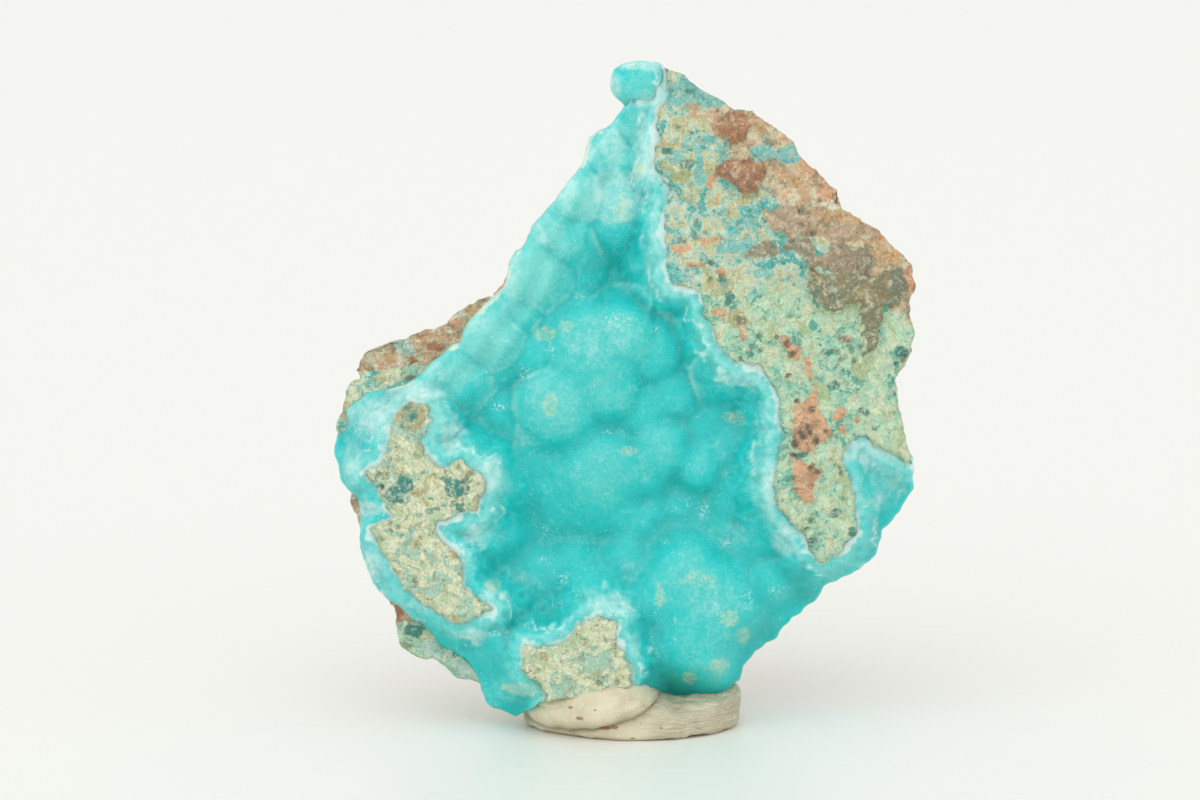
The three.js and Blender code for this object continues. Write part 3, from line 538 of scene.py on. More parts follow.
def small_domes(x, z):
    """Domes of a second and third size that ride on the lumps."""
    second = nearest_cell(flat(x, z, 0.3), 2.1, 3)
    third = nearest_cell(flat(x, z, 0.7), 0.95, 4)
    return 0.1 * (1 - second ** 2) + 0.05 * (1 - third ** 2) - 0.08


def crust_height(x, z, to_patch):
    """Height of the lumps with their small domes, which the broken rim lacks."""
    grown = smoothstep(to_patch, 0.6, 2.2)
    return lump_height(x, z, to_patch) + grown * small_domes(x, z)


def dive_into_knob(x, z):
    """How far the edge of the crust sinks into the knob at the tip."""
    edge = 1 - smoothstep(-signed_distance(x, z, FACE_OUTLINE), 0.3, 2.0)
    return KNOB_DIVE * edge * smoothstep(z, 27.2, 28.4) * (1 - smoothstep(x, 1.6, 2.4))


def crust_depth(x, z):
    """Depth of the visible skin."""
    to_patch = ragged_patch(x, z)
    depth = face_depth(x, z) + FACE_HEIGHT - crust_height(x, z, to_patch)
    by_patch = 1 - smoothstep(to_patch, 0.6, 1.8)
    depth += edge_roll(x, z, to_patch) + (0.05 + 0.09 * by_patch) * noise(flat(x, z), 0.6, 9)
    return depth + PATCH_DIVE * smoothstep(-to_patch, 0, 0.7) + dive_into_knob(x, z)


def bowl_depth(x, z):
    """The smooth bowl in the rock, behind the crust."""
    to_patch = distance_to_patch(x, z)
    depth = face_depth(x, z) + FACE_HEIGHT - bowl_height(x, z, to_patch)
    return depth + edge_roll(x, z, to_patch) + CRUST_THICKNESS


print("depth of the crust in the hollow's middle:", crust_depth(*at_middle)[0].round(2), "mm")

# %% The crust as a closed plate
CRUST_GRID = 236  # points along each side of the grid that covers the front
CRUST_RINGS = (6, 10)  # round the side and over the back
CRUST_TUCK = 1.4  # how far the back of the crust lies inside the rock
LEAST_CRUST = 0.8  # thickness that it keeps everywhere
EDGE_PULL = 1.6  # how far the edge stays back where a patch runs past the outline
EDGE_BULGE = 0.3

edge_x, edge_z = from_centre(face_reach, DIRECTIONS)
edge_places = flat(edge_x, edge_z)
edge_to_patch = distance_to_patch(edge_x, edge_z)
edge_in_patch = smoothed(1 - smoothstep(edge_to_patch, -1.6, -0.6), 0.3)
edge_wave = 0.32 * noise(edge_places, 2.2, 12) + 0.16 * noise(edge_places, 0.8, 13)
crust_reach = face_reach + edge_wave - EDGE_PULL * edge_in_patch


def crust_back_depth(x, z):
    return np.maximum(bowl_depth(x, z) + CRUST_TUCK, crust_depth(x, z) + LEAST_CRUST)


def crust_side(turned, angle, rim):
    """The edge of the crust bulges a little on its way back."""
    bulge = EDGE_BULGE * math.sin(math.pi * turned)
    x = rim[:, 0] + bulge * np.cos(angle)
    z = rim[:, 2] + bulge * np.sin(angle)
    back = np.maximum(bowl_depth(x, z) + CRUST_TUCK, rim[:, 1] + LEAST_CRUST)
    return np.stack([x, rim[:, 1] + (back - rim[:, 1]) * turned, z], axis=1)


crust_points, crust_quads, crust_cap = plate(
    CRUST_GRID, *CRUST_RINGS, surface_of(crust_reach, crust_depth), crust_side,
    surface_of(crust_reach, crust_back_depth))
crust = mesh_from("crust_skin", on_the_shelf(crust_points), crust_quads, crust_cap)

# %% [markdown]
# ## The matrix rock
#
# The rock shows its broken face in the bare patches, a rough ledge past the crust at the
# left, and its sides and back. Voxel sculpting would do for a back that nobody measured, but
# the patches have to meet the crust, so the rock is a plate of the same kind. Its relief is
# added along the normals at the end: shelves, lumps and pits of several sizes.

# %% Depth of the rock
ROCK_DEPTH = 17.5  # from the face to the middle of the back
LEDGE_DROP = 4.2  # how far behind the face the ledge past the crust lies
BACK_BLEND = 1.2  # how round the edges between the planes of the back are
LEAST_ROCK = 3.5  # thickness that it keeps behind the bowl
BACK_PLANES = [  # broken planes of the back: depth at the middle, slope along x and along z
    [0.0, 0.02, 0.05], [12.0, -0.78, 0.1], [9.5, 0.72, -0.12], [11.0, -0.12, -0.72],
    [9.5, 0.08, 0.7], [10.5, -0.46, -0.5], [8.0, 0.5, -0.42],
]


def rock_face(x, z):
    """The broken face inside the patches."""
    return face_depth(x, z) - 0.12 + 0.3 * noise(flat(x, z), 5.5, 21)


def rock_depth(x, z):
    """Front of the rock: the face in the patches, the bowl under the crust, and the ledge."""
    beyond = smoothstep(signed_distance(x, z, FACE_OUTLINE), -3, 1)
    under = bowl_depth(x, z) + 0.3
    ledge = face_depth(x, z) + LEDGE_DROP + 0.9 * noise(flat(x, z), 5, 22)
    core = under + (np.maximum(ledge, under - 2.4) - under) * beyond
    bare = 1 - smoothstep(ragged_patch(x, z), 0.0, 0.5)
    return core + (rock_face(x, z) - core) * bare


def rock_back_depth(x, z):
    """The back: the nearest of its broken planes, never closer to the bowl than allowed."""
    planes = [ROCK_DEPTH + middle + by_x * x + by_z * z for middle, by_x, by_z in BACK_PLANES]
    depth = planes[0]
    for plane in planes[1:]:
        depth = -soft_max(-plane, -depth, BACK_BLEND)
    return np.maximum(depth, bowl_depth(x, z) + LEAST_ROCK)


print("depth of the back in the middle:", rock_back_depth(*at_middle)[0].round(1), "mm")

# %% The rock as a closed plate
ROCK_GRID = 232
ROCK_RINGS = (14, 26)
ROCK_TAPER = 0.1  # how much narrower the back is than the front

rock_reach = reach(ROCK_OUTLINE)
near_patch = smoothed(1 - smoothstep(edge_to_patch, 0.5, 1.8), 0.5)
rim_reach = near_patch * face_reach + (1 - near_patch) * rock_reach
rim_reach += 0.22 * rough(flat(*from_centre(rim_reach, DIRECTIONS)), 2.2, 3, 15)
back_reach = rock_reach * (1 - ROCK_TAPER)


def rock_side(turned, angle, rim):
    """From the rim of the face in to the narrower outline of the back."""
    x_back, z_back = places(back_reach, np.ones(angle.shape), angle)
    inward = smoothstep(turned, 0.2, 1.0)
    x = rim[:, 0] + (x_back - rim[:, 0]) * inward
    z = rim[:, 2] + (z_back - rim[:, 2]) * inward
    back = rock_back_depth(x_back, z_back)
    return np.stack([x, rim[:, 1] + (back - rim[:, 1]) * turned, z], axis=1)


rock_points, rock_quads, rock_cap = plate(
    ROCK_GRID, *ROCK_RINGS, surface_of(rim_reach, rock_depth), rock_side,
    surface_of(back_reach, rock_back_depth))
print("rock runs from", rock_points.min(axis=0).round(1), "to", rock_points.max(axis=0).round(1))

# %% [markdown]
# ## Stains and inclusions of the face
#
# The broken face is a patchwork: blocks of umber and olive rock, orange limonite streaks,
# blue-green inclusions and pits. Each is a named mark on the face, an outline or an oval with
# a pigment. Painting them as fields first lets the same marks raise the mesh and colour it.

# %% Pigments
def linear(red, green, blue):
    """A display colour as the linear colour that Blender works in."""
    share = np.array([red, green, blue]) / 255
    return np.where(share < 0.04045, share / 12.92, ((share + 0.055) / 1.055) ** 2.4)


PIGMENTS = {
    "umber": linear(172, 112, 78),
    "taupe": linear(194, 162, 130),
    "olive": linear(128, 124, 90),
    "khaki": linear(190, 182, 130),
    "grey": linear(150, 138, 114),
    "orange": linear(236, 172, 128),
    "ochre": linear(214, 172, 118),
    "beige": linear(206, 204, 150),
    "moss": linear(172, 184, 124),
    "teal": linear(46, 136, 124),
    "aqua": linear(124, 206, 196),
    "blue": linear(72, 170, 186),
    "pale": linear(196, 226, 212),
    "black": linear(92, 74, 64),
}
EARTHY = {  # how much of a mark of each pigment is brown rock; the others are green or blue
    "umber": 1, "orange": 1, "ochre": 1, "black": 1, "taupe": 0.8, "grey": 0.6, "olive": 0.4,
}
print(len(PIGMENTS), "pigments, of which", len(EARTHY), "are earthy")

# %% Blocks and streaks of the face
BLOCKS = [  # pigment, height above the face, outline
    ("umber", 0.5, [[6.4, 25.1], [8.6, 26.3], [10.4, 25.8], [10.1, 24.4], [9.7, 23.1],
                    [8.4, 23.0], [7.4, 24.0]]),
    ("umber", 0.7, [[6.9, 20.7], [8.1, 21.7], [10.1, 21.9], [11.2, 21.2], [11.3, 20.5],
                    [10.8, 19.8], [10.4, 18.8], [9.4, 18.5], [8.2, 19.2], [7.2, 20.0]]),
    ("taupe", 0.5, [[10.8, 16.7], [12.6, 17.5], [14.9, 17.7], [17.0, 17.2], [16.1, 16.2],
                    [14.8, 15.1], [14.0, 14.3], [12.8, 15.0], [11.6, 16.0]]),
    ("olive", 0.8, [[14.9, 10.7], [15.4, 9.1], [16.7, 8.1], [18.0, 8.2], [19.8, 8.9],
                    [19.8, 8.1], [20.2, 6.9], [20.6, 4.5], [21.1, 4.9], [21.5, 6.3],
                    [21.9, 8.6], [23.7, 8.4], [23.8, 9.6], [25.4, 10.1], [25.6, 11.2],
                    [23.7, 12.2], [21.5, 11.5], [17.5, 11.5], [15.4, 11.8]]),
    ("orange", 0.3, [[12.4, 5.8], [13.1, 5.9], [14.4, 4.6], [14.0, 3.8], [13.1, 4.6]]),
    ("orange", 0.2, [[14.9, 3.7], [15.2, 3.5], [15.9, 1.2], [16.1, -0.6], [15.6, -0.6],
                     [15.4, 1.0], [14.9, 3.0]]),
    ("orange", 0.3, [[13.8, -0.6], [15.2, -0.4], [16.1, 0.0], [16.2, -1.1], [17.3, -2.4],
                     [17.3, -3.2], [16.7, -4.0], [16.1, -3.6], [15.7, -4.8], [14.4, -4.7],
                     [14.3, -4.0], [13.9, -3.6], [13.8, -2.2], [13.6, -1.4]]),
    ("orange", 0.3, [[14.0, -5.1], [14.5, -5.3], [15.2, -6.2], [16.2, -6.5], [16.2, -7.2],
                     [15.7, -7.7], [15.4, -8.9], [15.0, -9.6], [14.5, -8.9], [13.8, -7.7],
                     [13.7, -7.1], [14.1, -6.0]]),
    ("teal", 0.0, [[-22.7, -8.6], [-22.3, -7.7], [-21.4, -7.2], [-20.5, -7.3], [-19.9, -8.0],
                   [-20.8, -8.6], [-21.3, -9.3], [-22.3, -9.2]]),
    ("teal", 0.0, [[-17.8, -7.3], [-16.6, -7.1], [-15.3, -7.8], [-15.6, -8.6], [-17.3, -8.8]]),
    ("orange", 0.2, [[17.9, -0.5], [18.8, -0.5], [18.4, -1.5], [17.5, -1.8]]),
    ("orange", 0.2, [[17.6, -2.6], [18.6, -2.0], [18.7, -3.0], [18.1, -2.8]]),
]
OVALS = [  # pigment, x, z, half width, half height
    ("ochre", 19.5, 16.2, 3.2, 1.4), ("ochre", 20.6, 14.6, 1.4, 0.5), ("orange", 17.3, 18.9, 1.2, 0.9),
    ("orange", 21.6, 14.9, 1.0, 0.4), ("orange", 24.6, 11.4, 0.6, 1.6), ("taupe", 18.8, 15.2, 3.0, 0.8),
    ("grey", 18.8, 12.7, 3.2, 1.3), ("grey", 10.9, 13.4, 1.6, 0.8), ("grey", 14.6, 13.8, 1.5, 0.8),
    ("ochre", 22.4, 12.9, 1.4, 1.0), ("beige", 7.1, 10.2, 1.4, 0.9), ("teal", 7.4, 10.8, 0.6, 0.35),
    ("khaki", 8.9, 7.4, 1.3, 0.9), ("olive", 9.1, 7.3, 0.8, 0.45), ("ochre", 7.3, 8.0, 0.7, 0.4),
    ("ochre", 9.4, 5.9, 0.35, 0.7), ("grey", 18.6, 5.6, 0.8, 0.35), ("olive", 4.9, 7.9, 0.3, 0.9),
    ("ochre", 10.9, 24.6, 0.6, 0.9), ("orange", 12.7, 23.7, 0.7, 0.5), ("ochre", 14.1, 19.7, 1.0, 0.8),
    ("ochre", 12.4, 21.0, 1.6, 0.35), ("aqua", 13.4, 22.2, 1.8, 1.0), ("blue", 13.4, 21.6, 0.9, 0.45),
    ("aqua", 11.0, 22.4, 1.3, 0.7), ("aqua", 6.2, 23.4, 0.9, 0.6), ("aqua", 7.3, 22.6, 0.7, 0.8),
    ("aqua", 5.2, 27.6, 3.0, 1.5),
    ("aqua", 9.0, 26.9, 1.2, 0.5), ("ochre", 5.0, 26.5, 0.8, 0.3), ("ochre", 5.8, 25.6, 0.9, 0.2),
    ("beige", 3.4, 24.9, 1.0, 0.6), ("teal", 3.3, 24.6, 0.35, 0.2), ("teal", 4.5, 24.2, 0.35, 0.25),
    ("beige", 3.2, 23.0, 1.2, 0.5), ("teal", 2.6, 22.5, 0.6, 0.35), ("teal", 4.7, 22.6, 0.6, 0.4),
    ("teal", 4.3, 21.4, 0.7, 0.4), ("beige", 2.4, 21.0, 0.8, 0.4), ("moss", 3.6, 20.0, 1.0, 0.7),
    ("orange", 6.4, 19.5, 0.4, 0.6), ("orange", 6.9, 18.3, 0.5, 0.6), ("aqua", 5.4, 20.2, 0.5, 1.2),
    ("beige", 4.6, 18.4, 0.9, 0.5), ("beige", 8.6, 16.8, 0.5, 0.4), ("aqua", 9.6, 16.0, 1.2, 0.5),
    ("orange", 3.9, 13.6, 0.6, 0.3), ("orange", 5.7, 14.3, 0.35, 0.4), ("ochre", 6.8, 14.5, 0.8, 0.25),
    ("orange", 7.2, 11.6, 0.45, 0.35), ("teal", 6.3, 12.4, 0.5, 0.3), ("ochre", 5.0, 12.2, 0.9, 0.25),
    ("aqua", 11.3, 11.4, 0.9, 0.7), ("teal", 8.1, 9.1, 0.45, 0.5), ("aqua", 8.4, 13.8, 1.4, 0.8),
    ("teal", 17.9, -10.2, 0.7, 0.5), ("teal", 15.7, -12.7, 0.5, 0.3), ("teal", 19.2, -11.8, 0.35, 0.6),
    ("teal", 14.9, -5.0, 0.7, 0.3), ("teal", 17.6, 1.2, 0.6, 0.5), ("teal", 16.9, 4.3, 0.7, 0.4),
    ("teal", 20.4, -1.1, 0.5, 0.3), ("teal", 23.6, 4.3, 0.7, 0.4), ("black", 13.6, 4.2, 0.3, 0.25),
    ("black", 13.2, 5.0, 0.15, 0.3), ("black", 16.3, 5.0, 0.25, 0.15), ("black", 13.4, 2.2, 0.25, 0.25),
    ("black", 14.1, -0.1, 0.25, 0.15), ("black", 15.2, -2.5, 0.22, 0.4), ("black", 14.6, -3.3, 0.3, 0.4),
    ("black", 14.0, -3.8, 0.2, 0.4), ("black", 16.7, -2.8, 0.3, 0.3), ("black", 15.5, -0.9, 0.25, 0.2),
    ("black", 15.9, -3.7, 0.2, 0.25), ("black", 16.8, -3.8, 0.18, 0.2), ("black", 15.6, -5.8, 0.2, 0.2),
    ("black", 15.3, -6.1, 0.15, 0.15), ("black", 15.9, -6.5, 0.25, 0.2), ("black", 14.0, -4.9, 0.2, 0.12),
    ("orange", 19.8, -1.8, 0.3, 0.4), ("black", 19.9, -1.9, 0.12, 0.2),
    ("khaki", -20.6, -1.6, 1.3, 1.4), ("teal", -20.5, -1.7, 0.45, 0.4), ("teal", -21.6, -2.4, 0.3, 0.25),
    ("teal", -21.2, -0.7, 0.4, 0.25), ("teal", -18.7, -9.0, 0.35, 0.2), ("teal", -18.3, -9.7, 0.3, 0.15),
    ("teal", -19.0, -10.0, 0.25, 0.12), ("teal", -16.9, -9.5, 0.35, 0.15), ("teal", -16.2, -9.9, 0.3, 0.12),
    ("teal", -15.9, -9.3, 0.2, 0.15), ("teal", -19.6, -6.6, 0.4, 0.2), ("moss", -19.8, -4.6, 0.6, 0.5),
    ("khaki", -20.6, -12.9, 0.5, 0.4), ("ochre", -16.4, -13.6, 0.6, 0.5), ("teal", -6.9, -23.7, 0.6, 0.3),
    ("teal", -3.1, -24.9, 0.35, 0.25), ("aqua", -7.4, -24.6, 0.7, 0.3),
    ("ochre", -23.0, 3.9, 1.2, 0.4), ("umber", -18.6, 5.0, 0.9, 0.5), ("umber", -20.6, 3.6, 0.8, 0.4),
    ("orange", -16.4, 6.9, 1.0, 0.4), ("ochre", -14.8, 8.1, 1.2, 0.5), ("umber", -18.0, 3.5, 0.9, 0.4),
    ("olive", -20.6, 1.9, 0.8, 0.4), ("aqua", -24.6, 1.3, 1.2, 0.5), ("aqua", -21.6, 1.3, 1.4, 0.4),
    ("khaki", -23.0, 1.9, 1.0, 0.3), ("khaki", -26.6, -0.8, 0.6, 0.8),
    ("umber", -21.7, -19.2, 0.9, 0.9), ("teal", -20.6, -21.0, 0.9, 0.8), ("beige", -21.4, -22.4, 0.9, 0.6),
    ("pale", -18.0, -22.6, 2.4, 1.0), ("pale", -15.6, -24.6, 1.8, 0.9), ("taupe", -20.6, -19.9, 0.8, 0.3),
    ("teal", -17.6, -21.6, 0.7, 0.2), ("teal", -16.2, -23.0, 0.9, 0.25), ("khaki", 19.9, 9.6, 0.4, 0.3),
    ("khaki", -24.6, -7.4, 0.6, 0.5), ("khaki", -8.9, -23.2, 0.5, 0.5),
]
print(len(BLOCKS), "blocks and", len(OVALS), "ovals")

# %% Marks as fields
WANDER = 0.55  # how far the edge of a block wanders, in mm
OVAL_WANDER = 0.8  # how much of that the edge of an oval takes
MARK_EDGE = 0.12  # half the width of a mark's soft edge, in mm


def mark_of_block(x, z, outline, wander):
    """1 inside a block and 0 outside it, with a wandering edge."""
    inside = wander - signed_distance(x, z, np.array(outline))
    return smoothstep(inside, -MARK_EDGE, MARK_EDGE)


def mark_of_oval(x, z, middle_x, middle_z, half_width, half_height, wander):
    """The same for an oval. The edge of a small one wanders less, so that it stays whole."""
    out = 1 - np.hypot((x - middle_x) / half_width, (z - middle_z) / half_height)
    smaller = min(half_width, half_height)
    return smoothstep(out * smaller + wander * min(1, 0.4 + smaller), -MARK_EDGE, MARK_EDGE)


def stained(points):
    """Colour, cover, height and earthiness of the marks at points of the specimen's frame."""
    x, _, z = points.T
    wander = WANDER * rough(points, 1.5, 4, 31)
    colour = np.zeros((len(points), 3)) + PIGMENTS["beige"]
    cover, raised, earthy = np.zeros((3, len(points)))
    marks = [(name, up, mark_of_block(x, z, outline, wander)) for name, up, outline in BLOCKS]
    wander = OVAL_WANDER * wander
    marks += [(name, 0.0, mark_of_oval(x, z, *oval, wander)) for name, *oval in OVALS]
    for name, up, mark in marks:
        colour += (PIGMENTS[name] - colour) * mark[:, None]
        cover = np.maximum(cover, mark)
        raised = np.maximum(raised, up * mark)
        earthy += (EARTHY.get(name, 0) - earthy) * mark
    return colour, cover, raised, earthy


# %% Relief of the rock
PIT_DEPTH = 0.35


def shown_face(points):
    """1 on the broken face inside a patch, 0 on the ledge, the sides and the back."""
    x, y, z = points.T
    bare = 1 - smoothstep(ragged_patch(x, z), -0.1, 0.6)
    return bare * (1 - smoothstep(y - rock_face(x, z), 1.0, 3.5 + 2.5 * (x > 0)))


def rock_relief(points, on_face, raised):
    """Height of the relief: coarse on the broken outside, finer on the face."""
    shelves = 0.75 * rough(points, 3.6, 4, 41) + 0.35 * np.abs(noise(points, 2.2, 42))
    near = nearest_cell(points, 1.0, 43)
    pits = smoothstep(0.42 - near, 0, 0.25) * smoothstep(noise(points, 4.0, 44), 0.0, 0.3)
    inside = smoothstep(-signed_distance(points[:, 0], points[:, 2], FACE_OUTLINE), 0.2, 2.2)
    face = 0.24 * rough(points, 1.5, 4, 45) + raised * inside - PIT_DEPTH * pits
    return shelves * (1 - on_face) + face * on_face, pits


on_face = shown_face(rock_points)
stain, stain_cover, raised, earthy = stained(rock_points)
relief, pits = rock_relief(rock_points, on_face, raised)
rock_points = rock_points + relief[:, None] * normals_of(rock_points, rock_quads, rock_cap)
rock = mesh_from("matrix_stone", on_the_shelf(rock_points), rock_quads, rock_cap)

# %% Zones of the rock
WARM_LINE = np.array([  # along the upper right edge, where the face is warmest
    [8.0, 27.5], [15.0, 20.5], [21.0, 15.5], [25.5, 10.5],
])

x, y, z = rock_points.T
warm = 1 - smoothstep(distance_to_line(x, z, WARM_LINE), 1.5, 5.5)
green = smoothstep(14 - z, 0, 8) * (x > 0)  # the lower part of the right patch
behind = y - rock_face(x, z)
fresh = 1 - smoothstep(behind, 3, 7)  # the marks end a little way round the edge
foot = smoothstep(-18.5 - z, 0, 2.5) * (x < -8)  # the green foot at the lower left
low_ledge = smoothstep(3.0 + 0.1 * (x + 22) - z, -0.5, 0.7)  # the pale ledge at the left
low_ledge = low_ledge * smoothstep(z, -4, -2) * (x < -8)
paint(rock, stain=stain, stain_cover=stain_cover * fresh, earthy=earthy, on_face=on_face,
      warm=warm * on_face, green=green * on_face, pit=pits * on_face,
      granular=on_face * (x < 0), foot=foot * (1 - on_face),
      low_ledge=low_ledge * (1 - on_face) * (1 - smoothstep(behind, 6, 9)))

# %% [markdown]
# ## Painted shade and light on the crust, and where it is dusty
#
# Hemimorphite is clear blue in thick places and pale where its skin catches the light. Both are
# painted into the colour: the depth of tone, painted shade and light, comes from how high a point
# stands over its surroundings, which is its height less a blurred copy of the heights. The root
# of the crust, next to the rock, is white.

# %% Height over the surroundings
RASTER_STEP = 0.16  # in mm
RASTER_X = np.arange(-30, 28, RASTER_STEP)
RASTER_Z = np.arange(-32, 34, RASTER_STEP)
SURROUNDINGS = ((0.45, 1.3), (0.4, 3.2))  # weight and size in mm of each blur


def blurred(field, spread_mm):
    """A raster field, evened out over some millimetres."""
    across = np.fft.rfftfreq(field.shape[1], RASTER_STEP)
    along = np.fft.fftfreq(field.shape[0], RASTER_STEP)
    soft = np.exp(-2 * (math.pi * spread_mm) ** 2 * (along[:, None] ** 2 + across ** 2))
    return np.fft.irfft2(np.fft.rfft2(field) * soft, s=field.shape)


def sampled(field, x, z):
    """Values of a raster field at any places, straight between its points."""
    column = np.clip((x - RASTER_X[0]) / RASTER_STEP, 0, len(RASTER_X) - 1.001)
    row = np.clip((z - RASTER_Z[0]) / RASTER_STEP, 0, len(RASTER_Z) - 1.001)
    i, j = column.astype(int), row.astype(int)
    right, up = column - i, row - j
    below = field[j, i] * (1 - right) + field[j, i + 1] * right
    above = field[j + 1, i] * (1 - right) + field[j + 1, i + 1] * right
    return below * (1 - up) + above * up


raster_x, raster_z = np.meshgrid(RASTER_X, RASTER_Z)
flat_x, flat_z = raster_x.ravel(), raster_z.ravel()
heights = crust_height(flat_x, flat_z, distance_to_patch(flat_x, flat_z)).reshape(raster_x.shape)
standing = sum(share * (heights - blurred(heights, size)) for share, size in SURROUNDINGS)
print("heights of the crust:", heights.min().round(1), "to", heights.max().round(1))

# %% Painted light on the lumps: lit discs and highlighted edges
UP_LEFT = (-0.6, 0.8)  # the side of the lumps that the light picks out
HIGHLIGHT_FADE = 0.9  # mm in which the painted highlight inside an edge fades


def lit_discs_of_lumps(x, z):
    """How much of a lump lies under each place: painted light, paler on the lumps' tops."""
    milky = np.zeros(x.shape)
    for lump_x, lump_z, cap_radius, _ in LUMPS:
        off = np.hypot(x - lump_x, z - lump_z) / cap_radius
        milky = np.maximum(milky, smoothstep(1.25 - off, 0, 0.7))
    return milky


def highlit_edges_of_lumps(x, z):
    """Painted highlights: thin arcs along the lit upper left edges of the lumps, and a paler skin inside.
    """
    best = np.full(x.shape, -9.0)
    second, top, below, facing = best.copy(), best.copy(), best.copy(), np.zeros(x.shape)
    for lump in LUMPS:
        lump_x, lump_z, _, lump_top = lump
        surface = lump_surface(x, z, lump)
        wins = surface > best
        below = np.where(wins, top, np.where(surface > second, lump_top, below))
        second = np.where(wins, best, np.maximum(second, surface))
        top = np.where(wins, lump_top, top)
        best = np.where(wins, surface, best)
        away = np.hypot(x - lump_x, z - lump_z) + 1e-6
        turned = (UP_LEFT[1] * (z - lump_z) + UP_LEFT[0] * (x - lump_x)) / away
        facing = np.where(wins, turned, facing)
    margin = best - second
    rise_z, rise_x = np.gradient(margin, RASTER_STEP)
    sharp = np.hypot(rise_x, rise_z)
    from_edge = margin / np.maximum(sharp, 0.25)
    facing = np.where(top >= PLATE_TOP, 1, facing)
    seen = smoothstep(sharp, 0.4, 1.1) * smoothstep(facing, -0.6, 0.3)
    seen = seen * smoothstep(top - below, -0.3, 0.5)
    arc = smoothstep(from_edge, 0.02, 0.12) * (1 - smoothstep(from_edge, 0.2, 0.45))
    return arc * seen, np.exp(-from_edge / HIGHLIGHT_FADE) * smoothstep(from_edge, -0.02, 0.12) * seen


arcs, halos = highlit_edges_of_lumps(raster_x, raster_z)
# painted light: the lumps' tops are painted paler
lit_discs = blurred(lit_discs_of_lumps(raster_x, raster_z), 0.35)
print(f"arcs cover {100 * (arcs > 0.5).mean():.1f} percent of the raster")

# %% Places on the crust
SHADED_CLEFTS = [  # clefts painted with the deepest colour, as painted shade: x, z, half width, half height, strength
    [-2.7, -1.4, 1.2, 1.0, 0.5], [-11.2, 2.5, 1.6, 1.0, 0.7], [-6.2, 15.3, 1.0, 1.6, 0.6],
    [0.2, 15.3, 1.2, 2.4, 0.6], [-1.0, 8.6, 3.2, 1.2, 0.6], [4.5, 7.2, 2.2, 1.3, 0.6],
    [-15.3, 0.0, 1.2, 1.6, 0.7], [4.5, -3.8, 1.3, 1.3, 0.5], [2.8, -8.1, 1.6, 1.2, 0.5],
    [-7.4, -12.3, 2.6, 1.6, 0.7], [-11.7, -9.9, 1.4, 1.4, 0.6], [5.0, -10.5, 1.2, 2.2, 0.5],
    [9.9, -9.0, 1.2, 1.6, 0.5], [-13.4, -18.0, 1.3, 1.4, 1.0], [-7.6, -20.2, 1.6, 0.8, 0.5],
    [-3.6, -16.3, 1.8, 1.0, 0.4], [0.8, -24.0, 0.8, 2.6, 0.8], [8.6, -24.8, 1.2, 1.4, 0.6],
    [9.2, -17.0, 1.0, 1.8, 0.5], [10.8, -17.4, 1.2, 1.6, 0.5],
]
DUST = [  # beige grit caught on the lumps: x, z, half width, half height, strength if not 1
    [-8.6, 6.0, 1.4, 0.9], [-8.1, -0.5, 0.9, 1.4], [-1.4, 17.4, 0.9, 1.6], [8.6, -1.6, 1.3, 0.8, 0.65],
    [1.8, -17.8, 0.6, 1.4], [4.5, -25.2, 0.9, 0.7], [7.2, -24.1, 1.1, 0.9], [-0.4, 20.4, 0.8, 0.6],
    [-11.7, -26.1, 1.4, 0.5], [8.1, -19.8, 1.1, 1.0], [-6.6, 6.6, 1.0, 0.6], [-13.3, -16.7, 0.9, 0.7],
    [-1.0, -4.6, 1.2, 0.5], [2.9, 14.6, 0.4, 0.8], [10.3, 5.8, 0.4, 0.6],
    [5.2, -16.2, 2.4, 1.0, 0.6], [-1.6, 17.0, 1.0, 1.0], [0.1, 20.9, 0.9, 0.7],
    [-10.4, -26.2, 1.6, 0.8], [9.4, -21.4, 0.9, 0.9],
]
GLINTS = [  # painted glints, small white highlights on the lumps: x, z, half width, half height
    [-5.4, 9.3, 0.6, 0.3], [-2.0, 7.2, 1.7, 0.8], [1.2, 6.4, 0.7, 0.4], [-10.4, 2.3, 0.7, 1.1],
    [-8.1, 4.6, 0.5, 0.9], [-0.5, 1.2, 0.4, 0.25], [-2.9, -2.9, 0.6, 0.2], [-12.8, -0.6, 0.9, 0.4],
    [-3.2, -8.7, 0.7, 0.3], [2.3, -12.8, 0.4, 0.3], [-9.0, -14.4, 0.7, 0.3], [-6.8, -16.2, 0.8, 0.6],
    [-7.5, -18.5, 0.7, 0.4], [-1.8, -19.4, 2.0, 0.6], [8.0, -13.0, 0.8, 0.5], [9.6, -18.2, 0.9, 1.1],
    [5.8, -10.0, 0.7, 0.9], [12.4, -17.4, 0.9, 0.7], [-12.9, -21.0, 1.2, 0.35], [3.0, -20.0, 0.5, 0.4],
    [-16.1, -13.3, 1.3, 0.9], [-24.2, -2.6, 2.4, 1.3], [-24.0, -10.2, 1.5, 0.5],
]
